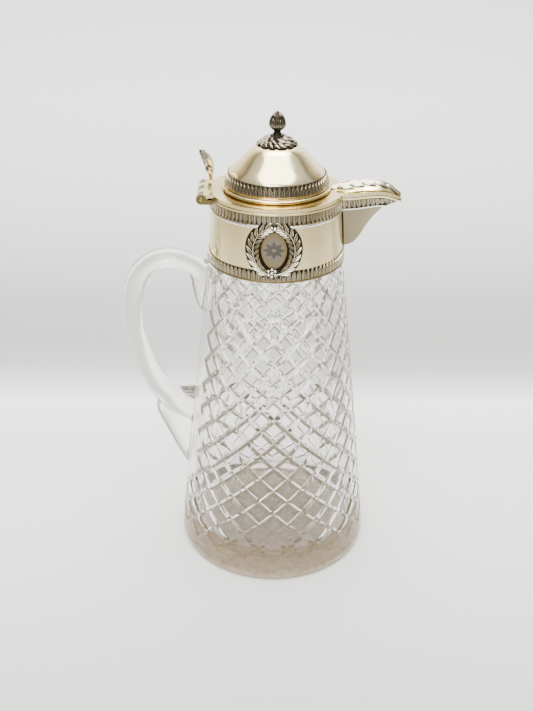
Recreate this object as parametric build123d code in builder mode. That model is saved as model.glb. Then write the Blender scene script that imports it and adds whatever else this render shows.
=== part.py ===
from build123d import *
import os
from math import atan2, cos, degrees, hypot, pi, radians, sin

# Claret jug: a tapered, mitre-cut glass body with an applied glass handle, and a silver-gilt neck
# mount with a beak spout and a hinged, domed lid.
# Millimetres. Origin on the jug's axis where it stands, +Z up, spout towards +X, handle towards -X,
# wreath towards -Y.

# ---------------------------------------------------------------- glass body
foot_radius = 58.5          # outer radius of the ring that the jug stands on
foot_ring_width = 9.0
underside_recess = 1.6
heel_radius = 61.4          # widest radius, just above the foot
heel_height = 5.0
shoulder_height = 198.4     # top of the bare glass, where the mount begins
shoulder_radius = 39.8
side_bulge = 0.7            # how far the side bows out from a straight cone
body_wall = 5.0
floor_thickness = 10.0
inner_heel_radius = 14.0
neck_inset = 4.2            # how far the glass neck inside the mount stands back from the shoulder
neck_wall = 3.8
neck_height = 13.0

# ---------------------------------------------------------------- mitre cutting on the glass
cells_round = 20            # diamonds in each row
cell_height = 16.29
cut_start_height = 16.3     # the lowest crossing of the cuts
cut_depth = 1.25
cut_share = 0.29            # how much of the diamonds' spacing the cuts take
panel_half_width = 35.0     # the plain panel round the handle, at the foot of the body
panel_top_half_width = 25.5
panel_point_height = 44.0   # where the panel comes to a point below the handle
panel_side_height = 66.0    # where the point's slopes meet the panel's sides

# ---------------------------------------------------------------- glass handle
handle_thickness = 11.8
handle_grip_thickness = 12.8
handle_foot_thickness = 21.0

# ---------------------------------------------------------------- neck mount
mount_height = 40.2         # from the shoulder of the glass to the top of the fixed mount
collar_wall = 1.0
collar_taper = 1.8          # how much smaller the collar's radius is at its top
rim_height = 1.4            # height of the rim moulding on the collar and the spout
rim_overhang = 0.9
rim_seat_width = 2.0        # how far the rim moulding reaches in over the collar's edge
band_height = 5.7           # applied leaf bands
band_thickness = 0.5
band_leaves = 88
leaf_tip_height = 1.5
leaf_relief = 0.3           # how deep the band is cut in between its leaves
wire_radius = 0.9
foot_wire_height = 1.6

# ---------------------------------------------------------------- laurel wreath on the collar
wreath_height = 31.9
wreath_width = 31.7
wreath_opening_height = 20.4
wreath_opening_width = 14.7
wreath_rise = 18.8          # its middle, above the shoulder of the glass
wreath_stem_width = 1.3
wreath_leaf_length = 7.2
wreath_leaf_width = 3.1
wreath_leaf_pairs = 10      # on each of the two branches
wreath_relief = 1.5
flower_ball_radius = 1.0
flower_rise = 5.2           # above the shoulder of the glass

# ---------------------------------------------------------------- spout
spout_wall = 1.0
spout_reach = 34.6          # from the collar's top edge to the tip
spout_band_reach = 31.0     # where the leaf bands and wires on the spout end
spout_sill_rise = 1.4       # sill of the pouring window, above the glass neck

# ---------------------------------------------------------------- lid
lid_gap = 0.3
lid_plate_thickness = 2.0
lid_plate_overhang = 0.7
bezel_depth = 3.6
bezel_wall = 1.0
bezel_clearance = 0.4
dome_radius = 29.2
dome_height = 28.2          # from the plate to the top of the bare dome
dome_wall = 1.0
dome_foot_height = 4.0
dome_foot_bead = 1.1
dome_band_leaves = 68
cover_leaf_height = 4.3

# ---------------------------------------------------------------- hinge
hinge_stand_off = 4.8       # pin axis, out from the collar's top edge
hinge_drop = 3.0            # pin axis, below the top of the lid plate
hinge_width = 28.4
hinge_knuckles = 5
knuckle_radius = 2.9
knuckle_gap = 0.3
pin_radius = 1.1
pin_clearance = 0.04
hinge_slot = 0.4
pin_head_height = 0.5

# ---------------------------------------------------------------- thumbpiece and finial
thumb_height = 21.7
thumb_width = 19.0
thumb_thickness = 2.6
thumb_lobes = 7
rosette_radius = 11.6
rosette_leaves = 12
rosette_thickness = 1.1
finial_ring_radius = 3.6
finial_ring_height = 1.6
finial_neck_radius = 2.0
finial_neck_height = 3.2
finial_bud_radius = 4.5
finial_bud_height = 10.2
stud_radius = 1.5
nut_radius = 3.2
nut_height = 2.4

os.makedirs("parts", exist_ok=True)


def finish(builder, label):
    """Label a finished piece and write it."""
    builder.part.label = label
    export_step(builder.part, f"parts/{label}.step")


# ---------------------------------------------------------------- places that several pieces share
neck_radius = shoulder_radius - neck_inset
collar_foot_radius = shoulder_radius
collar_top_radius = collar_foot_radius - collar_taper
rim_split_height = shoulder_height + mount_height
collar_height = mount_height - rim_height
collar_top = shoulder_height + collar_height
wreath_centre_height = shoulder_height + wreath_rise
flower_height = shoulder_height + flower_rise
spout_tip = collar_top_radius + spout_reach
spout_band_end = collar_top_radius + spout_band_reach
hinge_reach = collar_top_radius + hinge_stand_off
collar_slope = (collar_top_radius - collar_foot_radius) / collar_height
neck_bore_radius = neck_radius - neck_wall
neck_top = shoulder_height + neck_height
spout_floor_height = neck_top + spout_sill_rise
plate_bottom = rim_split_height + lid_gap
plate_top = plate_bottom + lid_plate_thickness
rim_inner_radius = collar_top_radius - collar_wall - rim_seat_width + rim_overhang
rim_outer_radius = collar_top_radius + rim_overhang
plate_radius = collar_top_radius + lid_plate_overhang
hinge_height = plate_top - hinge_drop
upper_band_top = collar_top
upper_band_bottom = upper_band_top - band_height
lower_band_bottom = shoulder_height + foot_wire_height
lower_band_top = lower_band_bottom + band_height
upper_wire_height = upper_band_bottom - wire_radius


def collar_radius(height):
    """Outside radius of the plain collar at a height."""
    return collar_foot_radius + collar_slope * (height - shoulder_height)


# ---------------------------------------------------------------- glass body
def glass_radius(height, bulge=0):
    """Outside radius of the glass body at a height, as a cone whose side may bow out."""
    share = (height - heel_height) / (shoulder_height - heel_height)
    return heel_radius + (shoulder_radius - heel_radius) * share + 4 * bulge * share * (1 - share)


inner_top_height = shoulder_height - neck_height
inner_foot_height = floor_thickness + inner_heel_radius
inner_side_top = (glass_radius(inner_top_height) - body_wall, inner_top_height)
inner_side_foot = (glass_radius(inner_foot_height) - body_wall, inner_foot_height)
side_middle = ((heel_radius + shoulder_radius) / 2 + side_bulge, (heel_height + shoulder_height) / 2)
foot_ring_inner = foot_radius - foot_ring_width

with BuildPart() as glass_form:
    # the bare outside of the body, solid right through, for seating what touches it
    with BuildSketch(Plane.XZ):
        with BuildLine():
            Line((0, 0), (foot_radius, 0))
            TangentArc((foot_radius, 0), (heel_radius, heel_height), tangent=(1, 0.35))
            ThreePointArc((heel_radius, heel_height), side_middle, (shoulder_radius, shoulder_height))
            Polyline((shoulder_radius, shoulder_height), (0, shoulder_height), (0, 0))
        make_face()
    revolve(axis=Axis.Z)

cut_rows = int((shoulder_height - cut_start_height) / (cell_height / 2)) + 2
skin_clearance = 0.05       # the diamonds' faces lie this far inside the uncut surface
cell_corners = ((0, -1), (1, 0), (0, 1), (-1, 0))
panel_cells, panel_rows = 3, 7      # half cells that lie wholly under the plain panel, each side and from below


def cut_point(column, row, depth):
    """A point of the cut pattern, in half cells round the body and up it, at a depth below its surface."""
    height = cut_start_height + row * cell_height / 2
    turn = pi * column / cells_round - pi / 2
    radius = glass_radius(height, side_bulge) - depth
    return Vector(radius * cos(turn), radius * sin(turn), height)


def facets(*corners):
    """Flat triangles that fan out from the first of the corners."""
    return [Face(Wire.make_polygon([corners[0], *pair])) for pair in zip(corners[1:], corners[2:])]


def diamond(column, row):
    """One diamond and the halves of the four cuts round it, or a sunk plain one under the panel."""
    bottoms = [cut_point(column + across, row + up, cut_depth) for across, up in cell_corners]
    if abs(column - 3 * cells_round / 2) < panel_cells and row > panel_rows:
        return facets(*bottoms)
    edges = [cut_point(column + across * (1 - cut_share), row + up * (1 - cut_share), skin_clearance)
             for across, up in cell_corners]
    found = facets(*edges)
    for corner in range(4):
        after = (corner + 1) % 4
        found += facets(bottoms[corner], bottoms[after], edges[after], edges[corner])
    return found


def cut_end(row, centre):
    """Closes the cut form from the zigzag of its last row to a point on the axis."""
    rim = [cut_point(column, row if (column + row) % 2 == 0 else row - 1, cut_depth)
           for column in range(2 * cells_round + 1)]
    return [face for pair in zip(rim, rim[1:]) for face in facets(*pair, Vector(0, 0, centre))]


cut_skin = [face for row in range(cut_rows + 1) for column in range(2 * cells_round) if (row + column) % 2
            for face in diamond(column, row)]
cut_skin += cut_end(0, cut_start_height - 4) + cut_end(cut_rows + 1, neck_top)

with BuildPart() as plain_glass:
    # what the cutting leaves alone: the heel, and a panel round the handle that ends in a point
    add(glass_form.part)
    with BuildSketch(Plane.XY.offset(cut_start_height)):
        Circle(2 * heel_radius)
    extrude(amount=2 * shoulder_height, mode=Mode.SUBTRACT)

with BuildPart() as plain_panel:
    with BuildSketch(Plane.YZ):
        Polygon((-panel_top_half_width, shoulder_height), (-panel_half_width, panel_side_height),
                (0, panel_point_height), (panel_half_width, panel_side_height),
                (panel_top_half_width, shoulder_height), align=None)
    extrude(amount=-2 * heel_radius)
    add(glass_form.part, mode=Mode.INTERSECT)

with BuildPart() as glass_waste:
    # the wine's room inside, the recess under the foot, and all that lies above the shoulder
    with BuildSketch(Plane.XZ):
        with BuildLine():
            Polyline((neck_bore_radius, shoulder_height), (neck_bore_radius, shoulder_height - body_wall / 2),
                     inner_side_top)
            ThreePointArc(inner_side_top, (side_middle[0] - body_wall, side_middle[1]), inner_side_foot)
            TangentArc(inner_side_foot, (inner_side_foot[0] - inner_heel_radius, floor_thickness),
                       tangent=(0.1, -1))
            Polyline((inner_side_foot[0] - inner_heel_radius, floor_thickness), (0, floor_thickness),
                     (0, 2 * neck_top), (2 * heel_radius, 2 * neck_top), (2 * heel_radius, shoulder_height),
                     (neck_bore_radius, shoulder_height))
        make_face()
    revolve(axis=Axis.Z)
    with BuildSketch(Plane.XY):
        Circle(foot_ring_inner)
    extrude(amount=underside_recess, taper=45)

with BuildPart() as glass_neck:
    with BuildSketch(Plane.XY.offset(shoulder_height)):
        Circle(neck_radius)
        Circle(neck_bore_radius, mode=Mode.SUBTRACT)
    extrude(amount=neck_height)
    fillet(glass_neck.faces().sort_by(Axis.Z)[-1].edges(), neck_wall * 0.4)

with BuildPart() as glass_body:
    add(Solid(Shell(cut_skin)))
    add([plain_glass.part, plain_panel.part], clean=False)
    add(glass_waste.part, mode=Mode.SUBTRACT, clean=False)
    add(glass_neck.part, clean=False)
finish(glass_body, "glass_body")

# ---------------------------------------------------------------- glass handle
# the handle's middle line: distance out from the shoulder, distance below it
handle_run = ((-3.8, 14.4), (16.2, 2.8), (32.7, 3.4), (44.7, 16.4), (48.1, 40.4), (43.2, 67.4), (33.2, 89.4),
              (17.2, 106.4), (4.2, 118.4))
handle_line = Spline(*[(-shoulder_radius - out, shoulder_height - drop) for out, drop in handle_run],
                     mode=Mode.PRIVATE)
arm_stations = 14
swelling_start = 0.6        # share of the handle's length where it begins to thicken to its foot
# where the hot glass ran down the body: distance below the shoulder, reach out from the body, half width
upper_drop = ((36.4, 0.8, 3.0), (27.4, 6.0, 5.4), (18.4, 8.8, 6.4), (10.4, 10.0, 6.4), (3.4, 7.0, 4.6))
lower_tail = ((91.4, 17.0, 6.0), (97.4, 26.5, 7.8), (107.4, 24.0, 8.2), (123.4, 14.6, 7.2), (137.4, 7.0, 5.2),
              (147.4, 0.8, 2.4))

with BuildPart() as glass_handle:
    for station in range(arm_stations + 1):
        share = station / arm_stations
        point = handle_line @ share
        slope = handle_line % share
        swelling = max(0, (share - swelling_start) / (1 - swelling_start)) ** 2
        thickness = handle_thickness + (handle_grip_thickness - handle_thickness) * sin(pi * share / 2)
        thickness += (handle_foot_thickness - handle_grip_thickness) * swelling
        with BuildSketch(Plane((point.X, 0, point.Y), x_dir=(0, 1, 0), z_dir=(slope.X, 0, slope.Y))):
            Circle(thickness / 2)
    loft()
    for drop in (upper_drop, lower_tail):
        for below, reach, half_width in drop:
            height = shoulder_height - below
            with BuildSketch(Plane((-glass_radius(height), 0, height))):
                Ellipse(reach, half_width)
        loft()
    add(glass_form.part, mode=Mode.SUBTRACT)
finish(glass_handle, "glass_handle")

# ---------------------------------------------------------------- plaster bed and collar
with BuildPart() as collar_form:
    # the collar's outside, filled, for seating what is applied to it
    with BuildSketch(Plane.XZ):
        Polygon((0, shoulder_height), (collar_foot_radius, shoulder_height), (collar_top_radius, collar_top),
                (0, collar_top), align=None)
    revolve(axis=Axis.Z)

with BuildPart() as plaster_bed:
    with BuildSketch(Plane.XZ):
        Polygon((neck_radius, shoulder_height), (collar_foot_radius - collar_wall, shoulder_height),
                (collar_radius(neck_top) - collar_wall, neck_top), (neck_radius, neck_top), align=None)
    revolve(axis=Axis.Z)
finish(plaster_bed, "plaster_bed")

# ---------------------------------------------------------------- spout forms
# along the spout: distance out from the collar's top edge, rim above the mount's top, keel below it,
# half width at the rim
spout_run = ((-3.0, 0.0, 35.0, 10.6), (3.0, 0.0, 32.6, 10.2), (8.6, 0.2, 29.8, 9.3), (13.2, 0.4, 22.7, 8.3),
             (18.6, 0.4, 14.4, 7.0), (24.4, -0.4, 8.4, 5.3), (30.0, -2.5, 5.6, 3.3),
             (spout_reach - 0.4, -4.6, 5.7, 1.4))
spout_stations = [(collar_top_radius + out, rim_split_height + rim, rim_split_height - keel, half)
                  for out, rim, keel, half in spout_run]
rim_run_start = collar_top_radius + rim_overhang
rim_run = [(x, z) for x, z, keel, half in spout_stations if x > rim_run_start + 3]
above_rim = 4.0
spout_hollow_start = -6.0   # the channel starts this far inside the collar


def spout_section(x, rim, keel, half, side_offset, floor):
    """V-shaped section across the spout, running past the rim, its sides moved out by side_offset."""
    depth = rim - keel
    drop = side_offset * hypot(depth, half) / half
    low = max(keel - drop, floor)
    top = rim + above_rim
    top_half = half * (top - keel + drop) / depth
    low_half = half * (low - keel + drop) / depth + 0.05
    with BuildSketch(Plane((x, 0, 0), x_dir=(0, 1, 0), z_dir=(1, 0, 0))) as section:
        Polygon((-low_half, low), (low_half, low), (top_half, top), (-top_half, top), align=None)
    return section.sketch


with BuildPart() as above_spout:
    # everything above the line of the spout's rim
    with BuildSketch(Plane.XZ):
        with BuildLine():
            Polyline((spout_stations[0][0] - 20, rim_split_height + 30),
                     (spout_stations[0][0] - 20, rim_split_height), (rim_run_start, rim_split_height))
            Spline((rim_run_start, rim_split_height), *rim_run[:-1], (spout_tip, rim_run[-1][1]),
                   tangents=((1, 0), (1, -0.62)))
            Polyline((spout_tip, rim_run[-1][1]), (spout_tip + 10, rim_run[-1][1]),
                     (spout_tip + 10, rim_split_height + 30), (spout_stations[0][0] - 20, rim_split_height + 30))
        make_face()
    extrude(amount=30, both=True)

with BuildPart() as spout_form:
    loft([spout_section(*station, side_offset=0, floor=0) for station in spout_stations])
    add(above_spout.part, mode=Mode.SUBTRACT)

channel_stations = [(spout_stations[0][0] + spout_hollow_start,) + spout_stations[0][1:]]
channel_stations += spout_stations[1:-1]

with BuildPart() as spout_channel:
    loft([spout_section(*station, side_offset=-spout_wall, floor=spout_floor_height)
          for station in channel_stations])

with BuildPart() as spout_body:
    add(spout_form.part)
    add(spout_channel.part, mode=Mode.SUBTRACT)
    add(collar_form.part, mode=Mode.SUBTRACT)
    with BuildSketch(Plane.XY.offset(collar_top - 1)):
        Circle(collar_top_radius)
    extrude(amount=10, mode=Mode.SUBTRACT)
finish(spout_body, "spout_body")

with BuildPart() as neck_collar:
    add(collar_form.part)
    with BuildSketch(Plane.XZ):
        Polygon((0, shoulder_height), (collar_foot_radius - collar_wall, shoulder_height),
                (collar_top_radius - collar_wall, collar_top), (0, collar_top), align=None)
    revolve(axis=Axis.Z, mode=Mode.SUBTRACT)
    add(spout_channel.part, mode=Mode.SUBTRACT)
finish(neck_collar, "neck_collar")

# ---------------------------------------------------------------- rim mouldings
with BuildPart() as collar_rim:
    with BuildSketch(Plane.XZ):
        with Locations(((rim_inner_radius + rim_outer_radius) / 2, collar_top + rim_height / 2)):
            RectangleRounded(rim_outer_radius - rim_inner_radius, rim_height, rim_height * 0.3)
    revolve(axis=Axis.Z)
    add(spout_channel.part, mode=Mode.SUBTRACT)
    add(spout_form.part, mode=Mode.SUBTRACT)
finish(collar_rim, "collar_rim")


def below_rim(low, high):
    """A slab that follows the spout's rim, between two depths below it, as a block across the spout."""
    with BuildPart() as slab:
        add(above_spout.part.moved(Location((0, 0, -high))))
        add(above_spout.part.moved(Location((0, 0, -low))), mode=Mode.SUBTRACT)
    return slab.part


def spout_skin(thickness):
    """A layer on the outside of the spout's two walls."""
    with BuildPart() as skin:
        loft([spout_section(*station, side_offset=thickness, floor=0) for station in spout_stations])
        add(spout_form.part, mode=Mode.SUBTRACT)
        add(above_spout.part, mode=Mode.SUBTRACT)
    return skin.part


with BuildPart() as collar_outline:
    # the collar with all the bands that run round it, filled
    with BuildSketch(Plane.XZ):
        Polygon((0, shoulder_height), (collar_foot_radius + wire_radius, shoulder_height),
                (rim_outer_radius, collar_top), (rim_outer_radius, rim_split_height), (0, rim_split_height),
                align=None)
    revolve(axis=Axis.Z)

with BuildPart() as spout_end_cut:
    with Locations((spout_band_end, 0, shoulder_height)):
        Box(40, 60, 60, align=(Align.MIN, Align.CENTER, Align.MIN))

with BuildPart() as spout_rim:
    add(spout_skin(rim_overhang))
    add(below_rim(0, rim_height), mode=Mode.INTERSECT)
    add(collar_outline.part, mode=Mode.SUBTRACT)
finish(spout_rim, "spout_rim")

with BuildPart() as spout_leaf_bands:
    add(spout_skin(band_thickness))
    add(below_rim(rim_height, rim_height + band_height), mode=Mode.INTERSECT)
    add(collar_outline.part, mode=Mode.SUBTRACT)
    add(spout_end_cut.part, mode=Mode.SUBTRACT)
finish(spout_leaf_bands, "spout_leaf_bands")

with BuildPart() as spout_wires:
    add(spout_skin(wire_radius))
    add(below_rim(rim_height + band_height, rim_height + band_height + wire_radius), mode=Mode.INTERSECT)
    add(collar_outline.part, mode=Mode.SUBTRACT)
    add(spout_end_cut.part, mode=Mode.SUBTRACT)
finish(spout_wires, "spout_wires")


# ---------------------------------------------------------------- leaf bands and wires on the collar
def leaf_outline(radius, height, count):
    """Outline of a ring of upright rounded leaves, seen from above."""
    valley = radius - leaf_relief
    with BuildSketch(Plane.XY.offset(height)) as outline:
        with BuildLine():
            for leaf in range(count):
                start, middle, end = (2 * pi * (leaf + part) / count for part in (0, 0.5, 1))
                ThreePointArc((valley * cos(start), valley * sin(start)),
                              (radius * cos(middle), radius * sin(middle)),
                              (valley * cos(end), valley * sin(end)))
        make_face()
    return outline.sketch


def leaf_band(bottom, top, radius_at, count, tips_up):
    """A thin ring of leaves with sloping tips. radius_at gives the seat's radius at a height."""
    tip, root = (top, top - leaf_tip_height) if tips_up else (bottom, bottom + leaf_tip_height)
    beyond = 1 if tips_up else -1
    with BuildPart() as band:
        loft([leaf_outline(radius_at(height) + band_thickness, height, count) for height in (bottom, top)],
             ruled=True)
        with BuildSketch(Plane.XZ):
            Polygon((radius_at(root) + band_thickness, root), (radius_at(root) + 4, root),
                    (radius_at(tip) + 4, tip + beyond), (radius_at(tip) - 0.1, tip + beyond),
                    (radius_at(tip) - 0.1, tip), align=None)
        revolve(axis=Axis.Z, mode=Mode.SUBTRACT)
    return band.part


with BuildPart() as upper_leaf_band:
    add(leaf_band(upper_band_bottom, upper_band_top, collar_radius, band_leaves, False))
    add(collar_form.part, mode=Mode.SUBTRACT)
    add(spout_form.part, mode=Mode.SUBTRACT)
finish(upper_leaf_band, "upper_leaf_band")

with BuildPart() as lower_leaf_band:
    add(leaf_band(lower_band_bottom, lower_band_top, collar_radius, band_leaves, True))
    add(collar_form.part, mode=Mode.SUBTRACT)
finish(lower_leaf_band, "lower_leaf_band")

with BuildPart() as upper_wire:
    with BuildSketch(Plane.XZ):
        with Locations((collar_radius(upper_wire_height), upper_wire_height)):
            Circle(wire_radius)
    revolve(axis=Axis.Z)
    add(collar_form.part, mode=Mode.SUBTRACT)
    add(spout_form.part, mode=Mode.SUBTRACT)
finish(upper_wire, "upper_wire")

with BuildPart() as foot_wire:
    with BuildSketch(Plane.XZ):
        with Locations((collar_foot_radius, shoulder_height + foot_wire_height / 2)):
            RectangleRounded(2 * wire_radius, foot_wire_height, foot_wire_height * 0.35)
    revolve(axis=Axis.Z)
    add(collar_form.part, mode=Mode.SUBTRACT)
finish(foot_wire, "foot_wire")

# ---------------------------------------------------------------- laurel wreath and its flower
stem_half_width = (wreath_width + wreath_opening_width) / 4
stem_half_height = (wreath_height + wreath_opening_height) / 4
leaf_spread = 27            # degrees between a leaf and the stem
branch_start, branch_end = -78, 80

with BuildSketch() as laurel_leaf:
    with BuildLine():
        ThreePointArc((0, 0), (wreath_leaf_length / 2, wreath_leaf_width / 2), (wreath_leaf_length, 0))
        ThreePointArc((wreath_leaf_length, 0), (wreath_leaf_length / 2, -wreath_leaf_width / 2), (0, 0))
    make_face()

with BuildPart() as relief_form:
    # the collar swollen by as much as the wreath stands out, filled
    with BuildSketch(Plane.XZ):
        Polygon((0, shoulder_height), (collar_foot_radius + wreath_relief, shoulder_height),
                (collar_top_radius + wreath_relief, collar_top), (0, collar_top), align=None)
    revolve(axis=Axis.Z)

with BuildPart() as band_envelope:
    # the bands and wires without their leaf tips, for what lies over them
    for low, high, stand_out in ((shoulder_height, lower_band_bottom, wire_radius),
                                 (lower_band_bottom, lower_band_top, band_thickness),
                                 (upper_band_bottom - 2 * wire_radius, upper_band_bottom, wire_radius),
                                 (upper_band_bottom, upper_band_top, band_thickness)):
        with BuildSketch(Plane.XZ):
            Polygon((0, low), (collar_radius(low) + stand_out, low), (collar_radius(high) + stand_out, high),
                    (0, high), align=None)
        revolve(axis=Axis.Z)

with BuildPart() as laurel_wreath:
    with BuildSketch(Plane.XZ.offset(collar_top_radius - 8)):
        with Locations((0, wreath_centre_height)):
            Ellipse(stem_half_width + wreath_stem_width / 2, stem_half_height + wreath_stem_width / 2)
            Ellipse(stem_half_width - wreath_stem_width / 2, stem_half_height - wreath_stem_width / 2,
                    mode=Mode.SUBTRACT)
        for side in (1, -1):
            for pair in range(wreath_leaf_pairs):
                turn = radians(branch_start + (branch_end - branch_start) * pair / wreath_leaf_pairs)
                x = side * stem_half_width * cos(turn)
                z = wreath_centre_height + stem_half_height * sin(turn)
                heading = degrees(atan2(stem_half_height * cos(turn), -side * stem_half_width * sin(turn)))
                for lean in (-leaf_spread, leaf_spread):
                    with Locations(Location((x, z, 0), (0, 0, heading + lean))):
                        add(laurel_leaf.sketch)
    extrude(amount=8 + wreath_relief + collar_foot_radius - collar_top_radius)
    add(relief_form.part, mode=Mode.INTERSECT)
    add(collar_form.part, mode=Mode.SUBTRACT)
    add(band_envelope.part, mode=Mode.SUBTRACT)
finish(laurel_wreath, "laurel_wreath")

flower_seat = collar_radius(flower_height) + wreath_relief
petal_reach = 2.15 * flower_ball_radius
petal_count = 6

with BuildPart() as wreath_flower:
    with Locations((0, -flower_seat, flower_height)):
        Sphere(flower_ball_radius, rotation=(90, 0, 0))
    for petal in range(petal_count):
        turn = 2 * pi * petal / petal_count
        with Locations((petal_reach * cos(turn), -flower_seat, flower_height + petal_reach * sin(turn))):
            Sphere(flower_ball_radius, rotation=(90, 0, 0))
    add(relief_form.part, mode=Mode.SUBTRACT)
finish(wreath_flower, "wreath_flower")

# ---------------------------------------------------------------- lid plate with its spout cover and knuckles
tongue_outline = [(x, half + lid_plate_overhang) for x, rim, keel, half in spout_stations[:-1]]
tip_thickness = lid_plate_thickness * 0.6
tongue_top_end = (spout_tip, rim_run[-1][1] + lid_gap + tip_thickness)
knuckle_length = (hinge_width - (hinge_knuckles - 1) * knuckle_gap) / hinge_knuckles
knuckle_pitch = knuckle_length + knuckle_gap
knuckle_places = [(index - (hinge_knuckles - 1) / 2) * knuckle_pitch for index in range(hinge_knuckles)]
dome_base = plate_top + dome_foot_height
hinge_axis_place = (-hinge_reach, hinge_height)


def knuckles(places, length, radius):
    """Round bars along the hinge axis at the given places across the jug."""
    with BuildPart() as bars:
        for place in places:
            with BuildSketch(Plane.XZ.offset(-place)):
                with Locations(hinge_axis_place):
                    Circle(radius)
            extrude(amount=length / 2, both=True)
    return bars.part


with BuildPart() as lid_plate:
    with BuildSketch(Plane.XZ):
        with BuildLine():
            Polyline((rim_run_start, plate_bottom), (-hinge_reach, plate_bottom), (-hinge_reach, plate_top),
                     (rim_run_start, plate_top))
            Spline((rim_run_start, plate_top), *[(x, z + lid_gap + lid_plate_thickness) for x, z in rim_run[:-1]],
                   tongue_top_end, tangents=((1, 0), (1, -0.62)))
            Line(tongue_top_end, (spout_tip, rim_run[-1][1] + lid_gap))
            Spline((rim_run_start, plate_bottom), *[(x, z + lid_gap) for x, z in rim_run[:-1]],
                   (spout_tip, rim_run[-1][1] + lid_gap), tangents=((1, 0), (1, -0.62)))
        make_face()
    extrude(amount=plate_radius, both=True)
    with BuildSketch(Plane.XY.offset(rim_split_height - 10)) as plate_outline:
        Circle(plate_radius)
        with BuildLine():
            Spline(*tongue_outline, (spout_tip, 0), *[(x, -half) for x, half in reversed(tongue_outline)])
            Line((tongue_outline[0][0], -tongue_outline[0][1]), tongue_outline[0])
        make_face()
        with Locations((-hinge_reach, 0)):
            Rectangle(hinge_reach, hinge_width, align=(Align.MIN, Align.CENTER))
    extrude(amount=20, mode=Mode.INTERSECT)
    # the underside of the tab is as thick as the hinge needs
    with BuildSketch(Plane.XZ):
        with Locations((-hinge_reach, hinge_height + hinge_slot / 2)):
            Rectangle(hinge_reach - rim_outer_radius - lid_gap, plate_bottom - hinge_height - hinge_slot / 2,
                      align=(Align.MIN, Align.MIN))
    extrude(amount=hinge_width / 2, both=True)
    add(knuckles(knuckle_places[0::2], knuckle_length + 2 * knuckle_gap, knuckle_radius + knuckle_gap),
        mode=Mode.SUBTRACT)
    add(knuckles(knuckle_places[1::2], knuckle_length, knuckle_radius))
    add(knuckles([0], hinge_width, pin_radius + pin_clearance), mode=Mode.SUBTRACT)
    with BuildSketch(Plane.XY.offset(plate_bottom)):
        Circle(dome_radius - dome_wall)
    extrude(amount=lid_plate_thickness, mode=Mode.SUBTRACT)
finish(lid_plate, "lid_plate")

# ---------------------------------------------------------------- hinge bracket on the collar, and the pin
bracket_top = hinge_height - hinge_slot / 2

with BuildPart() as hinge_bracket:
    with BuildSketch(Plane.XZ):
        with Locations((-hinge_reach, bracket_top)):
            Rectangle(hinge_reach - collar_top_radius + 8, knuckle_radius - hinge_slot / 2,
                      align=(Align.MIN, Align.MAX))
    extrude(amount=hinge_width / 2, both=True)
    add(knuckles(knuckle_places[1::2], knuckle_length + 2 * knuckle_gap, knuckle_radius + knuckle_gap),
        mode=Mode.SUBTRACT)
    add(knuckles(knuckle_places[0::2], knuckle_length, knuckle_radius))
    add(knuckles([0], hinge_width, pin_radius), mode=Mode.SUBTRACT)
    with BuildSketch(Plane.XY.offset(shoulder_height)):
        Circle(rim_outer_radius)
    extrude(amount=collar_height + rim_height, mode=Mode.SUBTRACT)
finish(hinge_bracket, "hinge_bracket")

with BuildPart() as hinge_pin:
    with BuildSketch(Plane.XZ):
        with Locations(hinge_axis_place):
            Circle(pin_radius)
    extrude(amount=hinge_width / 2 + pin_head_height, both=True)
    fillet(hinge_pin.edges().filter_by(GeomType.CIRCLE), pin_head_height * 0.9)
finish(hinge_pin, "hinge_pin")

# ---------------------------------------------------------------- lid bezel, dome and its foot
bezel_radius = rim_inner_radius - bezel_clearance

with BuildPart() as lid_bezel:
    with BuildSketch(Plane.XY.offset(plate_bottom)):
        Circle(bezel_radius)
        Circle(bezel_radius - bezel_wall, mode=Mode.SUBTRACT)
    extrude(amount=-bezel_depth)
finish(lid_bezel, "lid_bezel")

# the dome's outline as shares of its base radius and of its height
dome_shares = ((0.945, 0.23), (0.79, 0.44), (0.605, 0.665), (0.40, 0.865), (0.18, 0.975))
dome_rise = dome_height - dome_foot_height
dome_points = [(dome_radius * r, dome_base + dome_rise * z) for r, z in dome_shares]
dome_top = dome_base + dome_rise


def dome_shape(inset):
    """The dome's outline turned round the axis, drawn in by inset."""
    top = dome_top - inset
    points = [((dome_radius - inset) * r, dome_base + (top - dome_base) * z) for r, z in dome_shares]
    with BuildPart() as shape:
        with BuildSketch(Plane.XZ):
            with BuildLine():
                Polyline((0, top), (0, dome_base), (dome_radius - inset, dome_base))
                Spline((dome_radius - inset, dome_base), *points, (0, top), tangents=((-0.15, 1), (-1, 0)))
            make_face()
        revolve(axis=Axis.Z)
    return shape.part


dome_form = dome_shape(0)

with BuildPart() as lid_dome:
    add(dome_form)
    add(dome_shape(dome_wall), mode=Mode.SUBTRACT)
    with Locations((0, 0, dome_top)):
        Cylinder(stud_radius, 4 * dome_wall, mode=Mode.SUBTRACT)
finish(lid_dome, "lid_dome")

with BuildPart() as dome_foot:
    # a bead on the plate with a hollow above it
    with BuildSketch(Plane.XZ):
        with BuildLine():
            bead_outer = dome_radius + dome_foot_bead
            Polyline((bead_outer, plate_top + 2 * dome_foot_bead), (dome_radius, plate_top + 2 * dome_foot_bead))
            ThreePointArc((dome_radius, plate_top + 2 * dome_foot_bead),
                          (dome_radius - 0.35, (plate_top + 2 * dome_foot_bead + dome_base) / 2),
                          (dome_radius + 0.3, dome_base))
            Polyline((dome_radius + 0.3, dome_base), (dome_radius - 1.5 * dome_wall, dome_base),
                     (dome_radius - 1.5 * dome_wall, plate_top), (bead_outer, plate_top))
            ThreePointArc((bead_outer, plate_top), (bead_outer + dome_foot_bead, plate_top + dome_foot_bead),
                          (bead_outer, plate_top + 2 * dome_foot_bead))
        make_face()
    revolve(axis=Axis.Z)
finish(dome_foot, "dome_foot")


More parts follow.
